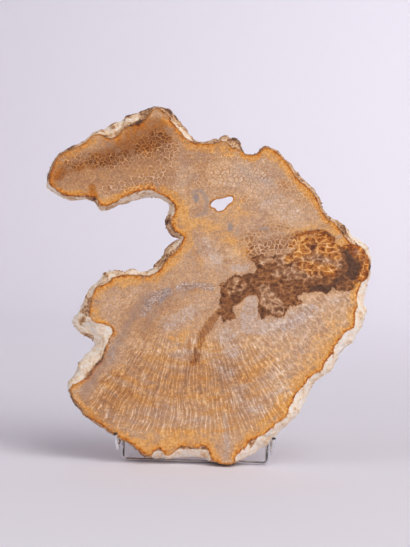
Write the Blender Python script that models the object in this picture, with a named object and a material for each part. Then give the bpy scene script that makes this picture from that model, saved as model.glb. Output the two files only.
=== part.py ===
"""Sawn slab of fossil coral upright on a bent-rod stand. Front faces -Y, +Z up, metres."""
import math

import bmesh
import bpy
import numpy as np
from mathutils import Vector, noise

MM = 0.001
GAP = 0.3

# The origin is on the floor, under the middle of the whole object
ORIGIN_X = 3.6
ORIGIN_Y = -68.1

# Slab of coral
SLAB_THICKNESS = 24.0
SLAB_TURN = math.radians(1.8)
SLAB_LEAN = math.radians(6.0)
SLAB_LIFT = 2.3
RIND_BULGE = 1.1
REAR_DRAW_IN = 1.6
KNOB_HEIGHT = 3.0
KNOB_PITCH = 8.5
HOLE_SPREAD = 2.4

# Stand
ROD_RADIUS = 1.9
ROD_SIDES = 10
ROD_FLAT = ROD_RADIUS * math.cos(math.pi / ROD_SIDES)
FRAME_LEFT = -82.6
FRAME_RIGHT = 62.2
FRAME_TOP = 152.0
LOW_BEND = 4.0
HIGH_BEND = 12.0
HOOK_OFFSET = 2 * ROD_RADIUS + 2 * GAP
HOOK_HEIGHT = 15.5
HOOK_FRONT_Y = -1.1
HOOK_TIP_HEIGHT = 29.0
LEFT_TIP_SPLAY = 2.6
RIGHT_TIP_SPLAY = 0.8
HOOK_BEND = 4.0
HOOK_WELD_TOP = 58.0
CAP_HEIGHT = 2.0
CAP_ROUND = 0.9
LEG_INSET = 24.0
LEG_FOOT_Y = 137.3

# Slab outline in its own plane, clockwise from the arm's tip, in millimetres:
# (polished edge across, polished edge up, rind across, rind up)
RIM = [
    (-157, 281, -159.5, 280.5), (-156, 286, -158.5, 287), (-155, 292, -157, 293),
    (-152.5, 300, -154, 302), (-148.5, 306.5, -150, 308.5), (-143.5, 310.5, -145, 312.5),
    (-138, 313.5, -139, 315.5), (-131, 317, -132, 319), (-125, 319, -125.5, 321.5),
    (-119.5, 322.5, -120, 324.5), (-115.5, 327, -116.5, 328.5), (-112, 330, -113, 333),
    (-105.5, 330.5, -107, 335), (-100, 326.5, -101, 336), (-95, 325.5, -97.5, 339),
    (-90, 327.5, -93.5, 342.5), (-87, 330.5, -87, 344.5), (-84, 333.5, -82, 346),
    (-81, 337, -79, 350), (-76, 338.5, -73, 351), (-71, 340, -67.5, 352.5),
    (-64, 341.5, -63, 355), (-60, 345.5, -58.5, 356), (-56.5, 350, -54, 358),
    (-53, 354.5, -50.5, 359), (-49, 356.5, -46, 358.5), (-44.5, 355.5, -41.5, 358),
    (-41, 352, -36.5, 356.5), (-37.5, 349.5, -34, 353), (-35, 345.5, -30.5, 349.5),
    (-32, 341.5, -26.5, 345), (-28.5, 337.5, -23.5, 340), (-25.5, 334, -20, 337.5),
    (-22.5, 330.5, -17.5, 332), (-19.5, 326.5, -14.5, 328.5), (-15.5, 323, -11, 325.5),
    (-10, 321.5, -6.5, 324.5), (-3, 320.5, -1, 323.8), (4, 320.2, 4.5, 324.5),
    (9.5, 320.5, 9.5, 326.8), (13.5, 322.3, 14, 325.6), (18.5, 322.4, 18.5, 329.8),
    (23, 321.8, 22.5, 330.2), (25, 318.5, 25.5, 326.2), (28, 316, 29, 328),
    (32, 315.5, 32.5, 325), (34.5, 315, 35.3, 321), (36.5, 312.8, 36.8, 314),
    (41, 310, 41.5, 311), (46, 308.8, 46.2, 309.8), (51, 309.8, 51.3, 311),
    (55, 312.8, 55, 314.2), (57.5, 316, 57, 318.5), (61, 317.2, 60.5, 320),
    (66, 315.8, 66, 317.8), (72, 312.5, 72.5, 314.2), (77, 307, 78.5, 308.3),
    (81, 303, 82, 304.5), (85, 298, 87, 301), (88, 292.5, 91, 295.5),
    (91.5, 287.5, 94.5, 290), (95.5, 283, 98.5, 285.5), (101, 278.5, 104, 281),
    (106, 273.5, 108.5, 277), (110, 268.5, 112.5, 271), (113.5, 263.5, 116, 265.5),
    (114.5, 258, 116.5, 259), (117, 253, 119.5, 254.5), (120.5, 247.5, 123.5, 249),
    (124.5, 243.5, 127.5, 245.5), (129.5, 240.5, 133.5, 243.8), (133, 236.5, 138.5, 240.2),
    (136.5, 231.5, 142, 235), (140.5, 227, 146, 230), (144.5, 222, 150, 226.8),
    (150, 219, 155.5, 224.5), (155.5, 217, 159.5, 220), (159, 213, 163, 215.5),
    (161.8, 208.5, 165.5, 210), (163.5, 203.5, 166.8, 204), (164, 198.5, 166.5, 198.5),
    (163.5, 193.5, 165.5, 193.5), (163, 188.5, 165, 188), (160.5, 184, 163.5, 184.3),
    (157.5, 181.8, 162, 180.5), (155, 178.5, 161.3, 177), (153.5, 173.5, 161.6, 171.8),
    (152.3, 168.5, 160.8, 166.8), (150.9, 163.5, 159.2, 162.2), (152, 159.3, 159.5, 159),
    (153, 156.3, 161, 156), (150.6, 153, 161.2, 152), (149.4, 149, 160.2, 147.5),
    (149.6, 144.5, 158.6, 143.4), (149.7, 139.5, 157, 138.5), (149, 136, 154.8, 133.5),
    (145.5, 134.2, 151.5, 129), (141, 132.5, 149.5, 125.5), (138.3, 128.8, 147, 121.8),
    (135.5, 125.7, 143, 118), (131.8, 121.5, 138.5, 115), (129, 117.8, 135, 111.5),
    (128, 114, 133, 108.8), (128.3, 110.8, 131.5, 105.8), (125, 107.3, 129, 102.3),
    (121.3, 104, 127.5, 98), (118.6, 99.8, 125.8, 94.8), (118, 95.5, 122.8, 91.5),
    (114.5, 92.3, 118.5, 88.6), (109.5, 90.3, 113.5, 85.5), (104.5, 86.8, 108.3, 82.2),
    (100.5, 81.2, 105.3, 78), (96.2, 76.2, 102.8, 73.5), (91.5, 70.5, 101.2, 67.3),
    (88.6, 66, 99.4, 62.5), (86.4, 61.5, 97.3, 58.3), (84, 56, 94.8, 54),
    (81.8, 50, 91.3, 49.5), (79, 45.5, 87, 45), (75, 42.5, 82.5, 41),
    (70.5, 40.5, 78.5, 37.8), (68, 36.5, 74.5, 34), (64, 33.8, 71, 30.5),
    (60.5, 31, 68, 27.5), (57, 28.8, 64.8, 24.5), (53, 27.6, 62, 20.5),
    (50.3, 25.5, 58, 17.5), (46, 24.4, 53.5, 14.5), (42.8, 21.8, 49, 11.5),
    (41, 17.5, 45.5, 9.3), (37.8, 15.3, 42, 7.8), (34.5, 12.3, 38.5, 6.2),
    (31, 9.3, 35, 4.8), (29.6, 6, 32.5, 3), (29, 2.5, 30.5, 2),
    (26, 0.2, 26.5, 0.8), (21, 0.2, 21, 0.8), (16, 1, 16, 1.4),
    (12, 2, 11, 1.8), (8, 4.2, 7.5, 2), (6.3, 6.8, 5, 3.2),
    (5, 10.3, 3, 5), (3.6, 14.2, 1, 6.5), (1, 17.5, -1.5, 7.4),
    (-2.5, 18.8, -4.5, 7.8), (-7.5, 17.3, -8.5, 8), (-13, 16.8, -13.5, 8),
    (-18.5, 17.8, -18.5, 8), (-23.5, 17.8, -23.5, 7.8), (-27.8, 15.8, -27.5, 7.5),
    (-31.3, 12.8, -30.8, 7.4), (-33.6, 9.2, -33.6, 7.2), (-36.5, 8.2, -36.5, 7),
    (-39.8, 8.8, -39.6, 6.8), (-41.5, 12.4, -42, 6.8), (-43.8, 15.2, -44.5, 6.8),
    (-47.2, 15.7, -47.3, 6.8), (-50, 14, -50, 6.8), (-52, 10.3, -52.3, 6.8),
    (-54.8, 8, -55, 6.8), (-58.5, 9, -59, 8), (-64, 12.8, -64.5, 12),
    (-70.5, 18.5, -71, 17.7), (-76, 22.4, -76.5, 21.5), (-81.5, 24.5, -82.5, 23.5),
    (-87, 28.2, -88, 27.4), (-93, 32, -94, 31), (-99.5, 36.5, -100.5, 35.5),
    (-107, 41.6, -108, 40.5), (-114, 45.8, -115, 44.6), (-119, 49.5, -120.2, 48.5),
    (-122, 54, -123.5, 53.5), (-125, 58.5, -126.5, 58), (-129, 63, -130.5, 62.2),
    (-132, 68, -133.8, 67.5), (-134, 73, -136, 72.6), (-134.5, 77, -137.2, 77.3),
    (-131.5, 79.3, -136.3, 80.8), (-127, 80.3, -133.8, 83.3), (-122, 83.5, -131.8, 86.8),
    (-117.5, 86.5, -129.3, 90.8), (-114.3, 90.3, -127.2, 94.8), (-111, 95, -126.2, 99),
    (-106, 99.7, -123.8, 102.8), (-102.8, 103.5, -121, 105.8), (-100.6, 107.8, -118.7, 109.2),
    (-100, 112.5, -114.5, 112.5), (-98.5, 118, -110.5, 116), (-95.3, 122.6, -108.2, 119.2),
    (-93.6, 126.8, -111, 123.8), (-91.7, 130.3, -115, 127.2), (-91.7, 134, -120.5, 129.2),
    (-94.3, 137, -125.8, 131), (-98.5, 138.5, -128.8, 135.5), (-103, 139.7, -131, 139.5),
    (-108, 141, -132.5, 143), (-112.5, 142.8, -130.8, 146.3), (-114.8, 146.5, -127.5, 149.7),
    (-115.3, 151.5, -125.2, 153.5), (-114.3, 157, -124, 158), (-113.5, 162.5, -121.5, 162),
    (-112.8, 167.5, -118.8, 166.5), (-111, 172, -116.3, 171.5), (-108, 176, -113.5, 176),
    (-103.5, 178.5, -109.5, 180), (-98.5, 179.7, -105.5, 184), (-95, 181.8, -103.5, 187.5),
    (-92.3, 185, -100.5, 191), (-88.8, 187.2, -95, 192.2), (-83, 188.2, -88.5, 193.5),
    (-78, 188.2, -81, 191.5), (-73.5, 189.2, -74, 194), (-68.5, 188.6, -69, 192.5),
    (-63.5, 187.4, -63.5, 191.6), (-58.8, 186.2, -58.5, 192), (-54.5, 187.8, -54, 193.2),
    (-50.5, 190.3, -50.5, 196), (-46.5, 193, -49.5, 200.5), (-43, 196.5, -47, 204),
    (-41.5, 200, -43.2, 206), (-38.5, 203, -41.6, 210), (-36.5, 206.5, -40, 213.2),
    (-33.5, 209.3, -37, 217.8), (-29.5, 211, -33.5, 220.4), (-26.8, 214, -31, 221.8),
    (-25.3, 217.5, -28.5, 223.3), (-24, 220.5, -26, 224.6), (-22, 223.5, -24.3, 225.4),
    (-21.5, 226.5, -23.8, 226.4), (-22.5, 229, -26.5, 227.8), (-25.5, 230.6, -30.5, 229.5),
    (-29.5, 231.5, -33.8, 231.6), (-32, 235.5, -36.8, 234.8), (-33.5, 240, -38.8, 239.8),
    (-33.5, 244.5, -38.8, 244.8), (-31.8, 248, -37.8, 249), (-30.2, 251.5, -37, 252.8),
    (-29.8, 255.5, -35.6, 256.5), (-30.5, 259.5, -35, 260), (-33.5, 263, -36.8, 263),
    (-37.5, 266.3, -40, 265.8), (-42, 268.8, -44.5, 268.5), (-46.5, 270.3, -49, 270),
    (-50, 272, -52.5, 270.2), (-54, 274.8, -56, 269.8), (-60, 274.3, -60.5, 269),
    (-66.5, 272.6, -66.5, 266.8), (-72, 270.6, -72, 265.2), (-78, 268.8, -77.5, 264.8),
    (-84, 265.8, -84, 263), (-89, 262.8, -89.5, 261.2), (-94, 259.3, -94.5, 257.8),
    (-98.5, 257.4, -99, 255.4), (-103, 257.8, -103.8, 255), (-106, 260.3, -107.5, 258.2),
    (-107.5, 264.3, -108.8, 262.5), (-111, 267.3, -112, 265.5), (-116, 267.3, -116.5, 265.6),
    (-120.5, 269, -120.8, 267.4), (-126, 268, -126.3, 266.2), (-133, 268, -133.3, 266.1),
    (-140, 269, -141.3, 267.2), (-146, 272, -147, 270), (-151, 275.5, -152.2, 273.8),
    (-155, 278.3, -156.8, 276.5),
]

# Small hole through the slab, clockwise, in the same plane
HOLE = [
    (5.2, 257.8), (5.7, 260.5), (7.6, 262.8), (11.3, 264.9), (15.5, 265.1), (19.3, 265.9),
    (22.3, 267.2), (25.2, 267.9), (27.4, 267.5), (28.3, 265.5), (27.6, 262.4), (25.6, 260.9),
    (23.2, 260.2), (21.8, 258), (19.7, 255), (17, 253.1), (14.2, 253.1), (12.2, 252.1),
    (11.4, 254.4), (9.6, 256.3), (7, 256.5),
]

# Depth behind the polished front, share of the way from polished edge to rind,
# share of the bulge, share of the knobs
RIM_ROWS = [
    (0.0, 0.0, 0.0, 0.0), (0.9, 0.12, 0.3, 0.0), (3.6, 0.5, 0.6, 0.7), (7.6, 0.86, 0.9, 1.0),
    (12.0, 1.0, 1.0, 1.0), (16.6, 1.0, 0.8, 1.0), (20.6, 1.0, 0.3, 0.7), (23.2, 1.0, -0.6, 0.2),
]
HOLE_ROWS = [(0.0, 0.0), (5.0, 0.2), (12.0, 0.7), (19.0, 1.0)]


def clear_scene():
    for item in list(bpy.data.objects):
        bpy.data.objects.remove(item, do_unlink=True)


def new_material(name, colour, metallic, roughness):
    """Plain Principled material."""
    material = bpy.data.materials.new(name)
    material.use_nodes = True
    shader = material.node_tree.nodes["Principled BSDF"]
    shader.inputs["Base Color"].default_value = (*colour, 1.0)
    shader.inputs["Metallic"].default_value = metallic
    shader.inputs["Roughness"].default_value = roughness
    return material


def link_data(name, data, material, group):
    data.materials.append(material)
    item = bpy.data.objects.new(name, data)
    group.objects.link(item)
    return item


def link_solid(name, solid, material, group):
    """Turn a bmesh solid into a named object, smooth but for its sharp edges."""
    bmesh.ops.recalc_face_normals(solid, faces=solid.faces)
    data = bpy.data.meshes.new(name)
    solid.to_mesh(data)
    solid.free()
    data.shade_smooth()
    data.set_sharp_from_angle(angle=math.radians(40))
    return link_data(name, data, material, group)


def placed(x, y, z):
    """Working millimetres to metres from the part's origin."""
    return ((x + ORIGIN_X) * MM, (y + ORIGIN_Y) * MM, z * MM)


def leaning(across, up, depth):
    """Point of a plane parallel to the slab, in working millimetres."""
    y = up * math.sin(SLAB_LEAN) + depth * math.cos(SLAB_LEAN)
    z = up * math.cos(SLAB_LEAN) - depth * math.sin(SLAB_LEAN) + SLAB_LIFT
    return across, y, z


def turned(points):
    """Turn plane points about the slab's foot."""
    cosine, sine = math.cos(SLAB_TURN), math.sin(SLAB_TURN)
    return points @ np.array([[cosine, sine], [-sine, cosine]])


def outward(points):
    """Unit normals that point out of a clockwise outline."""
    ahead = np.roll(points, -2, axis=0) + np.roll(points, -1, axis=0)
    behind = np.roll(points, 2, axis=0) + np.roll(points, 1, axis=0)
    run = ahead - behind
    run /= np.linalg.norm(run, axis=1)[:, None]
    return np.stack([-run[:, 1], run[:, 0]], axis=1)


def knob(point, depth):
    """Rounded lumps of the rind, mostly outward."""
    spot = Vector((*point, depth)) / KNOB_PITCH
    return KNOB_HEIGHT * (noise.noise(spot) + 0.4 * noise.noise(2.1 * spot))


def rim_loops():
    """Loops of plane points with their depth, from the front edge to the rear edge."""
    table = np.array(RIM, dtype=float)
    front = turned(table[:, :2])
    rind = turned(table[:, 2:])
    normal = outward(rind)
    loops = []
    for depth, share, bulge, rough in RIM_ROWS:
        line = front + (rind - front) * share + normal * RIND_BULGE * bulge
        lumps = np.array([knob(point, depth) for point in line])
        loops.append((line + normal * (rough * lumps)[:, None], depth))
    loops.append((rind - normal * REAR_DRAW_IN, SLAB_THICKNESS))
    return loops


def hole_loops():
    """Loops of the through hole, wider toward the rear."""
    edge = turned(np.array(HOLE, dtype=float))
    normal = outward(edge)
    loops = [(edge + normal * HOLE_SPREAD * share, depth) for depth, share in HOLE_ROWS]
    loops.append((edge + normal * HOLE_SPREAD, SLAB_THICKNESS))
    return loops


def wall(mesh, loops, reverse):
    """Skin one closed wall through its loops; returns the first and last ring of vertices."""
    rings = [[mesh.verts.new(placed(*leaning(x, y, depth))) for x, y in line] for line, depth in loops]
    count = len(rings[0])
    for near, far in zip(rings, rings[1:]):
        for i in range(count):
            j = (i + 1) % count
            corners = [near[i], near[j], far[j], far[i]]
            mesh.faces.new(corners[::-1] if reverse else corners)
    return rings[0], rings[-1]


def cap(mesh, *rings):
    """Fill the flat face between its outer ring and the hole's ring."""
    edges = []
    for ring in rings:
        edges += [mesh.edges.get((a, b)) for a, b in zip(ring, ring[1:] + ring[:1])]
    bmesh.ops.triangle_fill(mesh, edges=edges, use_beauty=True, use_dissolve=False)


def build_slab(group, material):
    """Rough rim and hole wall closed by two flat sawn faces."""
    mesh = bmesh.new()
    rim_front, rim_rear = wall(mesh, rim_loops(), False)
    hole_front, hole_rear = wall(mesh, hole_loops(), True)
    cap(mesh, rim_front, hole_front)
    cap(mesh, rim_rear, hole_rear)
    bmesh.ops.triangulate(mesh, faces=[f for f in mesh.faces if len(f.verts) > 3])
    return link_solid("coral_slab", mesh, material, group)


def rounded(corners, radii, closed):
    """Replace each corner of a 3-D path by an arc of the given centre-line radius."""
    path = []
    count = len(corners)
    for i, corner in enumerate(corners):
        here = Vector(corner)
        if radii[i] <= 0 or (not closed and i in (0, count - 1)):
            path.append(here)
            continue
        back = (Vector(corners[i - 1]) - here).normalized()
        on = (Vector(corners[(i + 1) % count]) - here).normalized()
        half = back.angle(on) / 2
        reach = radii[i] / math.tan(half)
        centre = here + (back + on).normalized() * (radii[i] / math.sin(half))
        start = (here + back * reach - centre).normalized()
        end = (here + on * reach - centre).normalized()
        for k in range(7):
            path.append(centre + start.slerp(end, k / 6) * radii[i])
    return path


def rod(name, corners, radii, closed, group, material):
    """Round rod along a path in working millimetres, with flat filled ends."""
    path = rounded(corners, radii, closed)
    curve = bpy.data.curves.new(name, "CURVE")
    curve.dimensions = "3D"
    curve.bevel_depth = ROD_RADIUS * MM
    curve.bevel_resolution = (ROD_SIDES - 4) // 2
    curve.use_fill_caps = not closed
    spline = curve.splines.new("POLY")
    spline.points.add(len(path) - 1)
    for point, place in zip(spline.points, path):
        point.co = (*placed(*place), 1.0)
    spline.use_cyclic_u = closed
    spline.use_smooth = True
    return link_data(name, curve, material, group)


def frame_depth():
    """Depth of the frame's rods behind the slab's front."""
    return SLAB_THICKNESS + GAP + ROD_RADIUS


def foot_up():
    """Height in the leaning plane at which a rod of the frame lies on the floor."""
    drop = frame_depth() * math.sin(SLAB_LEAN)
    return (ROD_FLAT - SLAB_LIFT + drop) / math.cos(SLAB_LEAN)


def build_back_frame(group, material):
    """Closed loop that lies on the floor behind the slab's foot and leans with it."""
    depth = frame_depth()
    corners = [
        leaning(FRAME_LEFT, foot_up(), depth), leaning(FRAME_LEFT, FRAME_TOP, depth),
        leaning(FRAME_RIGHT, FRAME_TOP, depth), leaning(FRAME_RIGHT, foot_up(), depth),
    ]
    radii = [LOW_BEND, HIGH_BEND, HIGH_BEND, LOW_BEND]
    return rod("back_frame", corners, radii, True, group, material)


def build_hook(name, x, splay, group, material):
    """Arm beside a side rod: down, forward under the slab's edge and up in front of it."""
    high = leaning(x, HOOK_WELD_TOP, frame_depth())
    low = leaning(x, HOOK_HEIGHT, frame_depth())
    corners = [
        high, (x, low[1], HOOK_HEIGHT), (x, HOOK_FRONT_Y, HOOK_HEIGHT),
        (x + splay, HOOK_FRONT_Y, HOOK_TIP_HEIGHT),
    ]
    return rod(name, corners, [0, HOOK_BEND, HOOK_BEND, 0], False, group, material)


def build_cap(name, x, group, material):
    """Plug over the hook's end, with a rounded top."""
    solid = bmesh.new()
    radius, height = ROD_RADIUS * MM, CAP_HEIGHT * MM
    bmesh.ops.create_cone(solid, cap_ends=True, segments=12, radius1=radius, radius2=radius, depth=height)
    top_edges = [edge for edge in solid.edges if all(vert.co.z > 0 for vert in edge.verts)]
    bmesh.ops.bevel(solid, geom=top_edges, offset=CAP_ROUND * MM, segments=2, profile=0.5, affect="EDGES")
    seat = HOOK_TIP_HEIGHT + 2 * GAP + CAP_HEIGHT / 2
    place = placed(x, HOOK_FRONT_Y, seat)
    bmesh.ops.translate(solid, verts=solid.verts, vec=place)
    return link_solid(name, solid, material, group)


def build_rear_leg(group, material):
    """Closed loop behind the frame: top rod against the frame's top, foot on the floor."""
    left, right = FRAME_LEFT + LEG_INSET, FRAME_RIGHT - LEG_INSET
    top = leaning(0, FRAME_TOP - 4.0, frame_depth() + 2 * ROD_RADIUS + 2 * GAP)
    corners = [
        (left, LEG_FOOT_Y, ROD_FLAT), (left, top[1], top[2]),
        (right, top[1], top[2]), (right, LEG_FOOT_Y, ROD_FLAT),
    ]
    return rod("rear_leg", corners, [HIGH_BEND] * 4, True, group, material)


def main():
    clear_scene()
    group = bpy.data.collections.new("fossil_coral_head")
    bpy.context.scene.collection.children.link(group)
    coral = new_material("polished_coral", (0.55, 0.34, 0.2), 0.0, 0.25)
    chrome = new_material("chrome", (0.8, 0.8, 0.82), 1.0, 0.08)
    black = new_material("black_plastic", (0.02, 0.02, 0.02), 0.0, 0.45)
    build_slab(group, coral)
    build_back_frame(group, chrome)
    left, right = FRAME_LEFT - HOOK_OFFSET, FRAME_RIGHT + HOOK_OFFSET
    build_hook("left_hook", left, -LEFT_TIP_SPLAY, group, chrome)
    build_hook("right_hook", right, RIGHT_TIP_SPLAY, group, chrome)
    build_cap("left_cap", left - LEFT_TIP_SPLAY, group, black)
    build_cap("right_cap", right + RIGHT_TIP_SPLAY, group, black)
    build_rear_leg(group, chrome)


main()
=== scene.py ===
import math
from itertools import product

import bpy
import numpy as np
from mathutils import Matrix, Vector, geometry


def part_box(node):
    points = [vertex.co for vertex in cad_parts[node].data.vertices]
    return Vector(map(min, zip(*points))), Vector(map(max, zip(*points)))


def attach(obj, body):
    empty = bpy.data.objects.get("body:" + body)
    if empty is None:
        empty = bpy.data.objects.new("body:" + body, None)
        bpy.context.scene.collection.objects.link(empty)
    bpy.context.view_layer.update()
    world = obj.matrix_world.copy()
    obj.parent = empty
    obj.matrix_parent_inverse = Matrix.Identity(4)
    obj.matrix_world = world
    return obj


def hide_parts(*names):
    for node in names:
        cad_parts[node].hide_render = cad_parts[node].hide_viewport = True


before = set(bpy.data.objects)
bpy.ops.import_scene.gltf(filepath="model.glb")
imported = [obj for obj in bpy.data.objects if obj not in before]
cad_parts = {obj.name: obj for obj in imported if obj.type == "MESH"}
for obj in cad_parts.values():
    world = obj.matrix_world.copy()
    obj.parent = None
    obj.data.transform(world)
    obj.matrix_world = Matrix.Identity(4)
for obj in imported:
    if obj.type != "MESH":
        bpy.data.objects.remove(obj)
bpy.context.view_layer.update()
mm = 0.001
print("frame loaded:", ", ".join(sorted(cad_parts)))

# Slab of coral, in millimetres and radians
slab = {
    "thickness": 24.0, "turn": math.radians(1.8), "lean": math.radians(6.0), "lift": 2.3,
    "originX": 3.6, "originY": -68.1,
    "rimStep": 1.1, "rimRows": 33, "frontStep": 1.55, "rearStep": 2.7,
    "bulge": 1.1, "rearDrawIn": 1.4, "edgeWear": 0.55,
    "knobs": 1.2, "knobPitch": 9.0, "cups": 1.25, "cupPitch": 5.0, "grit": 0.42,
    "holeSpread": 2.4, "holeRows": 17,
}
# depth, share of the way from polished edge to rind, share of bulge, share of lumps
rimProfile = np.array([
    (0.0, 0.0, 0.0, 0.0), (0.9, 0.12, 0.3, 0.35), (3.6, 0.5, 0.6, 0.9), (7.6, 0.86, 0.9, 1.0),
    (12.0, 1.0, 1.0, 1.0), (16.6, 1.0, 0.8, 1.0), (20.6, 1.0, 0.3, 0.8), (23.2, 1.0, -0.6, 0.25),
    (24.0, 1.0, -1.3, 0.0),
])
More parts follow.
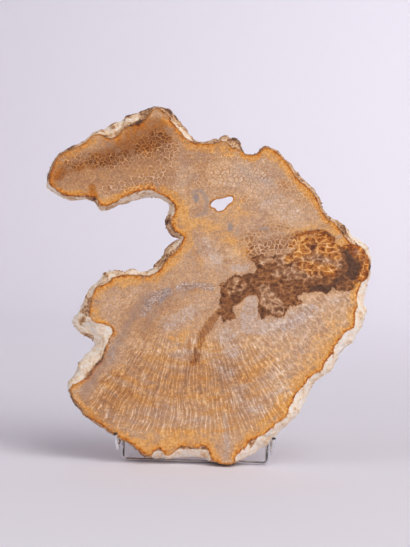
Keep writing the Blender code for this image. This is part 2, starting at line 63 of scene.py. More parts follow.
# clockwise from the arm's tip: polished edge across and up, rind across and up
rimTable = np.array([
    (-157, 281, -159.5, 280.5), (-156, 286, -158.5, 287), (-155, 292, -157, 293),
    (-152.5, 300, -154, 302), (-148.5, 306.5, -150, 308.5), (-143.5, 310.5, -145, 312.5),
    (-138, 313.5, -139, 315.5), (-131, 317, -132, 319), (-125, 319, -125.5, 321.5),
    (-119.5, 322.5, -120, 324.5), (-115.5, 327, -116.5, 328.5), (-112, 330, -113, 333),
    (-105.5, 330.5, -107, 335), (-100, 326.5, -101, 336), (-95, 325.5, -97.5, 339),
    (-90, 327.5, -93.5, 342.5), (-87, 330.5, -87, 344.5), (-84, 333.5, -82, 346),
    (-81, 337, -79, 350), (-76, 338.5, -73, 351), (-71, 340, -67.5, 352.5),
    (-64, 341.5, -63, 355), (-60, 345.5, -58.5, 356), (-56.5, 350, -54, 358),
    (-53, 354.5, -50.5, 359), (-49, 356.5, -46, 358.5), (-44.5, 355.5, -41.5, 358),
    (-41, 352, -36.5, 356.5), (-37.5, 349.5, -34, 353), (-35, 345.5, -30.5, 349.5),
    (-32, 341.5, -26.5, 345), (-28.5, 337.5, -23.5, 340), (-25.5, 334, -20, 337.5),
    (-22.5, 330.5, -17.5, 332), (-19.5, 326.5, -14.5, 328.5), (-15.5, 323, -11, 325.5),
    (-10, 321.5, -6.5, 324.5), (-3, 320.5, -1, 323.8), (4, 320.2, 4.5, 324.5),
    (9.5, 320.5, 9.5, 326.8), (13.5, 322.3, 14, 325.6), (18.5, 322.4, 18.5, 329.8),
    (23, 321.8, 22.5, 330.2), (25, 318.5, 25.5, 326.2), (28, 316, 29, 328),
    (32, 315.5, 32.5, 325), (34.5, 315, 35.3, 321), (36.5, 312.8, 36.8, 314),
    (41, 310, 41.5, 311), (46, 308.8, 46.2, 309.8), (51, 309.8, 51.3, 311),
    (55, 312.8, 55, 314.2), (57.5, 316, 57, 318.5), (61, 317.2, 60.5, 320),
    (66, 315.8, 66, 317.8), (72, 312.5, 72.5, 314.2), (77, 307, 78.5, 308.3),
    (81, 303, 82, 304.5), (85, 298, 87, 301), (88, 292.5, 91, 295.5),
    (91.5, 287.5, 94.5, 290), (95.5, 283, 98.5, 285.5), (101, 278.5, 104, 281),
    (106, 273.5, 108.5, 277), (110, 268.5, 112.5, 271), (113.5, 263.5, 116, 265.5),
    (114.5, 258, 116.5, 259), (117, 253, 119.5, 254.5), (120.5, 247.5, 123.5, 249),
    (124.5, 243.5, 127.5, 245.5), (129.5, 240.5, 133.5, 243.8), (133, 236.5, 138.5, 240.2),
    (136.5, 231.5, 142, 235), (140.5, 227, 146, 230), (144.5, 222, 150, 226.8),
    (150, 219, 155.5, 224.5), (155.5, 217, 159.5, 220), (159, 213, 163, 215.5),
    (161.8, 208.5, 165.5, 210), (163.5, 203.5, 166.8, 204), (164, 198.5, 166.5, 198.5),
    (163.5, 193.5, 165.5, 193.5), (163, 188.5, 165, 188), (160.5, 184, 163.5, 184.3),
    (157.5, 181.8, 162, 180.5), (155, 178.5, 161.3, 177), (153.5, 173.5, 161.6, 171.8),
    (152.3, 168.5, 160.8, 166.8), (150.9, 163.5, 159.2, 162.2), (152, 159.3, 159.5, 159),
    (153, 156.3, 161, 156), (150.6, 153, 161.2, 152), (149.4, 149, 160.2, 147.5),
    (149.6, 144.5, 158.6, 143.4), (149.7, 139.5, 157, 138.5), (149, 136, 154.8, 133.5),
    (145.5, 134.2, 151.5, 129), (141, 132.5, 149.5, 125.5), (138.3, 128.8, 147, 121.8),
    (135.5, 125.7, 143, 118), (131.8, 121.5, 138.5, 115), (129, 117.8, 135, 111.5),
    (128, 114, 133, 108.8), (128.3, 110.8, 131.5, 105.8), (125, 107.3, 129, 102.3),
    (121.3, 104, 127.5, 98), (118.6, 99.8, 125.8, 94.8), (118, 95.5, 122.8, 91.5),
    (114.5, 92.3, 118.5, 88.6), (109.5, 90.3, 113.5, 85.5), (104.5, 86.8, 108.3, 82.2),
    (100.5, 81.2, 105.3, 78), (96.2, 76.2, 102.8, 73.5), (91.5, 70.5, 101.2, 67.3),
    (88.6, 66, 99.4, 62.5), (86.4, 61.5, 97.3, 58.3), (84, 56, 94.8, 54),
    (81.8, 50, 91.3, 49.5), (79, 45.5, 87, 45), (75, 42.5, 82.5, 41),
    (70.5, 40.5, 78.5, 37.8), (68, 36.5, 74.5, 34), (64, 33.8, 71, 30.5),
    (60.5, 31, 68, 27.5), (57, 28.8, 64.8, 24.5), (53, 27.6, 62, 20.5),
    (50.3, 25.5, 58, 17.5), (46, 24.4, 53.5, 14.5), (42.8, 21.8, 49, 11.5),
    (41, 17.5, 45.5, 9.3), (37.8, 15.3, 42, 7.8), (34.5, 12.3, 38.5, 6.2),
    (31, 9.3, 35, 4.8), (29.6, 6, 32.5, 3), (29, 2.5, 30.5, 2),
    (26, 0.2, 26.5, 0.8), (21, 0.2, 21, 0.8), (16, 1, 16, 1.4),
    (12, 2, 11, 1.8), (8, 4.2, 7.5, 2), (6.3, 6.8, 5, 3.2),
    (5, 10.3, 3, 5), (3.6, 14.2, 1, 6.5), (1, 17.5, -1.5, 7.4),
    (-2.5, 18.8, -4.5, 7.8), (-7.5, 17.3, -8.5, 8), (-13, 16.8, -13.5, 8),
    (-18.5, 17.8, -18.5, 8), (-23.5, 17.8, -23.5, 7.8), (-27.8, 15.8, -27.5, 7.5),
    (-31.3, 12.8, -30.8, 7.4), (-33.6, 9.2, -33.6, 7.2), (-36.5, 8.2, -36.5, 7),
    (-39.8, 8.8, -39.6, 6.8), (-41.5, 12.4, -42, 6.8), (-43.8, 15.2, -44.5, 6.8),
    (-47.2, 15.7, -47.3, 6.8), (-50, 14, -50, 6.8), (-52, 10.3, -52.3, 6.8),
    (-54.8, 8, -55, 6.8), (-58.5, 9, -59, 8), (-64, 12.8, -64.5, 12),
    (-70.5, 18.5, -71, 17.7), (-76, 22.4, -76.5, 21.5), (-81.5, 24.5, -82.5, 23.5),
    (-87, 28.2, -88, 27.4), (-93, 32, -94, 31), (-99.5, 36.5, -100.5, 35.5),
    (-107, 41.6, -108, 40.5), (-114, 45.8, -115, 44.6), (-119, 49.5, -120.2, 48.5),
    (-122, 54, -123.5, 53.5), (-125, 58.5, -126.5, 58), (-129, 63, -130.5, 62.2),
    (-132, 68, -133.8, 67.5), (-134, 73, -136, 72.6), (-134.5, 77, -137.2, 77.3),
    (-131.5, 79.3, -136.3, 80.8), (-127, 80.3, -133.8, 83.3), (-122, 83.5, -131.8, 86.8),
    (-117.5, 86.5, -129.3, 90.8), (-114.3, 90.3, -127.2, 94.8), (-111, 95, -126.2, 99),
    (-106, 99.7, -123.8, 102.8), (-102.8, 103.5, -121, 105.8), (-100.6, 107.8, -118.7, 109.2),
    (-100, 112.5, -114.5, 112.5), (-98.5, 118, -110.5, 116), (-95.3, 122.6, -108.2, 119.2),
    (-93.6, 126.8, -111, 123.8), (-91.7, 130.3, -115, 127.2), (-91.7, 134, -120.5, 129.2),
    (-94.3, 137, -125.8, 131), (-98.5, 138.5, -128.8, 135.5), (-103, 139.7, -131, 139.5),
    (-108, 141, -132.5, 143), (-112.5, 142.8, -130.8, 146.3), (-114.8, 146.5, -127.5, 149.7),
    (-115.3, 151.5, -125.2, 153.5), (-114.3, 157, -124, 158), (-113.5, 162.5, -121.5, 162),
    (-112.8, 167.5, -118.8, 166.5), (-111, 172, -116.3, 171.5), (-108, 176, -113.5, 176),
    (-103.5, 178.5, -109.5, 180), (-98.5, 179.7, -105.5, 184), (-95, 181.8, -103.5, 187.5),
    (-92.3, 185, -100.5, 191), (-88.8, 187.2, -95, 192.2), (-83, 188.2, -88.5, 193.5),
    (-78, 188.2, -81, 191.5), (-73.5, 189.2, -74, 194), (-68.5, 188.6, -69, 192.5),
    (-63.5, 187.4, -63.5, 191.6), (-58.8, 186.2, -58.5, 192), (-54.5, 187.8, -54, 193.2),
    (-50.5, 190.3, -50.5, 196), (-46.5, 193, -49.5, 200.5), (-43, 196.5, -47, 204),
    (-41.5, 200, -43.2, 206), (-38.5, 203, -41.6, 210), (-36.5, 206.5, -40, 213.2),
    (-33.5, 209.3, -37, 217.8), (-29.5, 211, -33.5, 220.4), (-26.8, 214, -31, 221.8),
    (-25.3, 217.5, -28.5, 223.3), (-24, 220.5, -26, 224.6), (-22, 223.5, -24.3, 225.4),
    (-21.5, 226.5, -23.8, 226.4), (-22.5, 229, -26.5, 227.8), (-25.5, 230.6, -30.5, 229.5),
    (-29.5, 231.5, -33.8, 231.6), (-32, 235.5, -36.8, 234.8), (-33.5, 240, -38.8, 239.8),
    (-33.5, 244.5, -38.8, 244.8), (-31.8, 248, -37.8, 249), (-30.2, 251.5, -37, 252.8),
    (-29.8, 255.5, -35.6, 256.5), (-30.5, 259.5, -35, 260), (-33.5, 263, -36.8, 263),
    (-37.5, 266.3, -40, 265.8), (-42, 268.8, -44.5, 268.5), (-46.5, 270.3, -49, 270),
    (-50, 272, -52.5, 270.2), (-54, 274.8, -56, 269.8), (-60, 274.3, -60.5, 269),
    (-66.5, 272.6, -66.5, 266.8), (-72, 270.6, -72, 265.2), (-78, 268.8, -77.5, 264.8),
    (-84, 265.8, -84, 263), (-89, 262.8, -89.5, 261.2), (-94, 259.3, -94.5, 257.8),
    (-98.5, 257.4, -99, 255.4), (-103, 257.8, -103.8, 255), (-106, 260.3, -107.5, 258.2),
    (-107.5, 264.3, -108.8, 262.5), (-111, 267.3, -112, 265.5), (-116, 267.3, -116.5, 265.6),
    (-120.5, 269, -120.8, 267.4), (-126, 268, -126.3, 266.2), (-133, 268, -133.3, 266.1),
    (-140, 269, -141.3, 267.2), (-146, 272, -147, 270), (-151, 275.5, -152.2, 273.8),
    (-155, 278.3, -156.8, 276.5),
], dtype=float)
# hole through the slab, clockwise
holeTable = np.array([
    (5.2, 257.8), (5.7, 260.5), (7.6, 262.8), (11.3, 264.9), (15.5, 265.1), (19.3, 265.9),
    (22.3, 267.2), (25.2, 267.9), (27.4, 267.5), (28.3, 265.5), (27.6, 262.4), (25.6, 260.9),
    (23.2, 260.2), (21.8, 258), (19.7, 255), (17, 253.1), (14.2, 253.1), (12.2, 252.1),
    (11.4, 254.4), (9.6, 256.3), (7, 256.5),
], dtype=float)


def latticeValue(cells, seed):
    # repeatable value from 0 to 1 for each whole-number lattice cell
    key = cells.astype(np.int64) @ np.array([73856093, 19349663, 83492791]) + seed * 7919
    key = ((key ^ (key >> 13)) & 0xFFFFFFFF) * 1274126177
    return ((key >> 8) & 0xFFFFFF) / 0xFFFFFF


def softNoise(points, pitch, seed):
    # smooth noise from -1 to 1: lattice values blended with the curve 3t^2 - 2t^3 along each axis
    spot = points / pitch
    base = np.floor(spot)
    part = spot - base
    part = part * part * (3 - 2 * part)
    total = np.zeros(len(points))
    for corner in product((0, 1), repeat=3):
        weight = np.prod(np.where(np.array(corner) == 1, part, 1 - part), axis=1)
        total += weight * latticeValue(base + corner, seed)
    return 2 * total - 1


def cellDistance(points, pitch, seed):
    # distance to the nearest of the jittered cell centres, one in each lattice cell
    spot = points / pitch
    base = np.floor(spot)
    nearest = np.full(len(points), 9.0)
    for step in product((-1, 0, 1), repeat=3):
        cell = base + step
        jitter = np.stack([latticeValue(cell, seed + axis) for axis in range(3)], axis=1)
        nearest = np.minimum(nearest, np.linalg.norm(cell + 0.15 + 0.7 * jitter - spot, axis=1))
    return nearest * pitch


def eased(value):
    # 0 to 1 with flat ends
    value = np.clip(value, 0, 1)
    return value * value * (3 - 2 * value)


def resampledRing(table, step):
    # even stations round a closed table of points, straight between rows and then rounded off
    closed = np.vstack([table, table[:1]])
    runs = np.diff(closed, axis=0)
    length = np.maximum(np.hypot(runs[:, 0], runs[:, 1]), np.hypot(runs[:, -2], runs[:, -1]))
    along = np.concatenate([[0], np.cumsum(length)])
    stations = np.linspace(0, along[-1], int(along[-1] / step), endpoint=False)
    ring = np.stack([np.interp(stations, along, column) for column in closed.T], axis=1)
    for turn in range(2):
        ring = 0.5 * ring + 0.25 * (np.roll(ring, 1, axis=0) + np.roll(ring, -1, axis=0))
    return ring


def outwardNormals(ring, reach):
    # unit normals pointing out of a clockwise ring, from points some stations ahead and behind
    run = sum(np.roll(ring, -k, axis=0) - np.roll(ring, k, axis=0) for k in range(1, reach + 1))
    run /= np.linalg.norm(run, axis=1)[:, None]
    return np.stack([-run[:, 1], run[:, 0]], axis=1)


def gridNormals(grid, sign):
    # normals of a grid of points that closes round its second direction
    down = np.gradient(grid, axis=0)
    around = np.roll(grid, -1, axis=1) - np.roll(grid, 1, axis=1)
    normal = np.cross(around, down) * sign
    return normal / np.maximum(np.linalg.norm(normal, axis=2), 1e-6)[..., None]


def rindRelief(points):
    # broad lumps, worn cups with raised lips, and grit
    lumps = slab["knobs"] * softNoise(points, slab["knobPitch"], 3)
    lumps += 0.5 * slab["knobs"] * softNoise(points, 0.45 * slab["knobPitch"], 5)
    gap = cellDistance(points, slab["cupPitch"], 11)
    cups = np.exp(-((gap - 1.7) / 0.7) ** 2) - 1.1 * np.exp(-((gap / 1.0) ** 2))
    shown = eased(0.5 + 1.2 * softNoise(points, 15.0, 8))
    grit = slab["grit"] * (softNoise(points, 1.9, 9) + 0.6 * softNoise(points, 1.1, 10))
    return lumps + slab["cups"] * cups * (0.35 + 0.65 * shown) + grit


def rimGrid():
    # profile carried round the outline: polished edge + (rind - polished edge) x share + outward
    # normal x bulge, then relief along the surface normal; columns are across, up and depth
    ring = resampledRing(rimTable, slab["rimStep"])
    front, rind = ring[:, :2], ring[:, 2:]
    flat = np.column_stack([front, np.zeros(len(front))])
    wear = softNoise(flat, 3.1, 21) + 0.6 * softNoise(flat, 1.6, 22)
    front = front + outwardNormals(front, 4) * (slab["edgeWear"] * wear)[:, None]
    normal = outwardNormals(rind, 4)
    row = np.linspace(0, 1, slab["rimRows"])
    depth = slab["thickness"] * (0.55 * row + 0.45 * eased(row))
    share, bulge, rough = (np.interp(depth, rimProfile[:, 0], rimProfile[:, k]) for k in (1, 2, 3))
    line = front + (rind - front) * share[:, None, None] + normal * (slab["bulge"] * bulge)[:, None, None]
    line[-1] = rind - normal * slab["rearDrawIn"]
    grid = np.concatenate([line, np.broadcast_to(depth[:, None, None], (*line.shape[:2], 1))], axis=2)
    relief = rindRelief(grid.reshape(-1, 3)).reshape(line.shape[:2]) * rough[:, None]
    shaped = grid + gridNormals(grid, 1) * relief[..., None]
    shaped[..., 2] = np.clip(shaped[..., 2], 0.05, slab["thickness"] - 0.05)
    shaped[0], shaped[-1] = grid[0], grid[-1]
    return shaped, relief


def holeGrid():
    # wall of the hole, which spreads toward the rear
    ring = resampledRing(holeTable, slab["rimStep"])[:, :2]
    normal = outwardNormals(ring, 2)
    row = np.linspace(0, 1, slab["holeRows"])
    depth = slab["thickness"] * row
    spread = slab["holeSpread"] * eased(depth / 19.0)
    line = ring + normal * spread[:, None, None]
    grid = np.concatenate([line, np.broadcast_to(depth[:, None, None], (*line.shape[:2], 1))], axis=2)
    flatten = np.sin(np.pi * row) ** 0.5
    relief = 0.45 * rindRelief(grid.reshape(-1, 3)).reshape(line.shape[:2]) * flatten[:, None]
    shaped = grid + gridNormals(grid, -1) * relief[..., None]
    shaped[..., 2] = np.clip(shaped[..., 2], 0.05, slab["thickness"] - 0.05)
    shaped[0], shaped[-1] = grid[0], grid[-1]
    return shaped, relief


def insideRing(points, ring):
    # even-odd test: how many edges of the ring a ray to the right crosses
    found = []
    nextRing = np.roll(ring, -1, axis=0)
    for part in np.array_split(points, max(1, len(points) // 4000)):
        above = ring[:, 1] > part[:, 1:2]
        nextAbove = nextRing[:, 1] > part[:, 1:2]
        rise = np.where(nextRing[:, 1] == ring[:, 1], 1e-9, nextRing[:, 1] - ring[:, 1])
        crossing = ring[:, 0] + (part[:, 1:2] - ring[:, 1]) / rise * (nextRing[:, 0] - ring[:, 0])
        found.append(((above != nextAbove) & (part[:, 0:1] < crossing)).sum(axis=1) % 2 == 1)
    return np.concatenate(found)


def ringDistance(points, ring):
    # shortest distance from each point to a closed ring of straight pieces
    found = []
    run = np.roll(ring, -1, axis=0) - ring
    size = np.maximum((run ** 2).sum(axis=1), 1e-9)
    for part in np.array_split(points, max(1, len(points) // 3000)):
        offset = part[:, None, :] - ring
        share = np.clip((offset * run).sum(axis=2) / size, 0, 1)
        found.append(np.linalg.norm(offset - share[..., None] * run, axis=2).min(axis=1))
    return np.concatenate(found)


def fillPoints(outer, hole, step):
    # staggered grid of points inside the outer ring and outside the hole, clear of both
    low, high = outer.min(axis=0), outer.max(axis=0)
    across, up = np.meshgrid(np.arange(low[0], high[0], step), np.arange(low[1], high[1], step * 0.866))
    across[1::2] += step / 2
    points = np.column_stack([across.ravel(), up.ravel()])
    points = points[insideRing(points, outer) & ~insideRing(points, hole)]
    clear = np.minimum(ringDistance(points, outer), ringDistance(points, hole))
    return points[clear > 0.55 * step], clear[clear > 0.55 * step]


def faceTriangles(outer, hole, inner):
    # flat triangles over the sawn face, keeping both rings as edges, anticlockwise from the front
    points = np.vstack([outer, hole, inner])
    first, second = np.arange(len(outer)), np.arange(len(hole)) + len(outer)
    edges = [tuple(pair) for ring in (first, second)
             for pair in zip(ring.tolist(), np.roll(ring, -1).tolist())]
    result = geometry.delaunay_2d_cdt([Vector(p) for p in points.tolist()], edges, [], 0, 1e-5, True)
    source = np.array([origin[0] for origin in result[3]])
    triangles = source[np.array(result[2])]
    middle = points[triangles].mean(axis=1)
    triangles = triangles[insideRing(middle, outer) & ~insideRing(middle, hole)]
    a, b, c = (points[triangles[:, k]] for k in range(3))
    area = np.cross(b - a, c - a)
    triangles[area < 0] = triangles[area < 0][:, ::-1]
    return triangles


def slabToWorld(place):
    # across, up and depth in the slab's own plane to metres: turn, lean, lift
    turn, lean = slab["turn"], slab["lean"]
    across = place[:, 0] * math.cos(turn) - place[:, 1] * math.sin(turn)
    up = place[:, 0] * math.sin(turn) + place[:, 1] * math.cos(turn)
    y = up * math.sin(lean) + place[:, 2] * math.cos(lean) + slab["originY"]
    z = up * math.cos(lean) - place[:, 2] * math.sin(lean) + slab["lift"]
    return np.column_stack([across + slab["originX"], y, z]) * mm


def meshObject(name, points, faces, smooth=True):
    mesh = bpy.data.meshes.new(name)
    mesh.from_pydata(points, [], faces)
    mesh.polygons.foreach_set("use_smooth", np.full(len(faces), smooth))
    mesh.update()
    piece = bpy.data.objects.new(name, mesh)
    bpy.context.scene.collection.objects.link(piece)
    return piece


def pointValues(piece, name, values):
    kind = "FLOAT" if values.ndim == 1 else "FLOAT_VECTOR"
    layer = piece.data.attributes.new(name, kind, "POINT")
    layer.data.foreach_set("value" if values.ndim == 1 else "vector", values.ravel().astype(np.float32))


def gridQuads(rows, count, start, flip):
    # quads of a grid that closes round its second direction
    near = np.arange(rows - 1)[:, None] * count + np.arange(count) + start
    far = near + count
    ahead = np.arange(rows - 1)[:, None] * count + (np.arange(count) + 1) % count + start
    quads = np.stack([near, ahead, ahead + count, far], axis=2).reshape(-1, 4)
    return quads[:, ::-1] if flip else quads


def buildSlab():
    rim, rimRelief = rimGrid()
    hole, holeRelief = holeGrid()
    frontInner, frontEdge = fillPoints(rim[0, :, :2], hole[0, :, :2], slab["frontStep"])
    rearInner, rearEdge = fillPoints(rim[-1, :, :2], hole[-1, :, :2], slab["rearStep"])
    rimCount, holeCount = rim.shape[1], hole.shape[1]
    rimStart, holeStart = 0, rim.shape[0] * rimCount
    frontStart = holeStart + hole.shape[0] * holeCount
    rearStart = frontStart + len(frontInner)
    place = np.vstack([
        rim.reshape(-1, 3), hole.reshape(-1, 3),
        np.column_stack([frontInner, np.zeros(len(frontInner))]),
        np.column_stack([rearInner, np.full(len(rearInner), slab["thickness"])]),
    ])
    frontIds = np.concatenate([
        np.arange(rimCount), np.arange(holeCount) + holeStart, np.arange(len(frontInner)) + frontStart])
    rearIds = np.concatenate([
        np.arange(rimCount) + (rim.shape[0] - 1) * rimCount,
        np.arange(holeCount) + holeStart + (hole.shape[0] - 1) * holeCount,
        np.arange(len(rearInner)) + rearStart])
    front = frontIds[faceTriangles(rim[0, :, :2], hole[0, :, :2], frontInner)]
    rear = rearIds[faceTriangles(rim[-1, :, :2], hole[-1, :, :2], rearInner)][:, ::-1]
    walls = [gridQuads(rim.shape[0], rimCount, rimStart, False),
             gridQuads(hole.shape[0], holeCount, holeStart, True)]
    faces = [face for block in (front, rear, *walls) for face in block.tolist()]
    world = slabToWorld(place)
    low, high = (np.array(corner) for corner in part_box("coral_slab"))
    world = np.clip(world, low, high)
    piece = meshObject("coralSlab", world.tolist(), faces)
    slots = np.zeros(len(faces), dtype=np.int32)
    slots[len(front) + len(rear):] = 1
    piece.data.polygons.foreach_set("material_index", slots)
    edge = np.zeros(len(place))   # distance in from the polished edge, or out over the rind as a minus
    walk = np.linalg.norm(np.diff(rim, axis=0), axis=2)
    fromFront = np.vstack([np.zeros(rimCount), np.cumsum(walk, axis=0)])
    fromRear = fromFront[-1] - fromFront
    edge[:holeStart] = -np.minimum(fromFront, fromRear + 1.5).ravel()
    edge[holeStart:frontStart] = -np.minimum(hole[..., 2], slab["thickness"] - hole[..., 2]).ravel()
    edge[frontStart:rearStart] = frontEdge
    edge[rearStart:] = rearEdge
    edge[rearIds[:rimCount]] = 0
    relief = np.zeros(len(place))
    relief[:holeStart] = rimRelief.ravel()
    relief[holeStart:frontStart] = holeRelief.ravel()
    ringEdges(piece, [(0, rimCount), ((rim.shape[0] - 1) * rimCount, rimCount), (holeStart, holeCount),
                      (holeStart + (hole.shape[0] - 1) * holeCount, holeCount)])
    return piece, place, edge, relief


def ringEdges(piece, rings):
    # the corner between sawn face and wall is sharp
    mesh = piece.data
    ends = np.zeros(len(mesh.edges) * 2, dtype=np.int32)
    mesh.edges.foreach_get("vertices", ends)
    ends = ends.reshape(-1, 2)
    sharp = np.zeros(len(ends), dtype=bool)
    for start, count in rings:
        local = ends - start
        within = ((local >= 0) & (local < count)).all(axis=1)
        gap = np.abs(local[:, 0] - local[:, 1])
        sharp |= within & ((gap == 1) | (gap == count - 1))
    mesh.attributes.new("sharp_edge", "BOOLEAN", "EDGE").data.foreach_set("value", sharp)


coralSlab, slabPlace, slabEdge, slabRelief = buildSlab()
slabTriangles = sum(len(face.vertices) - 2 for face in coralSlab.data.polygons)
print("slab:", len(coralSlab.data.vertices), "points,", slabTriangles, "triangles")


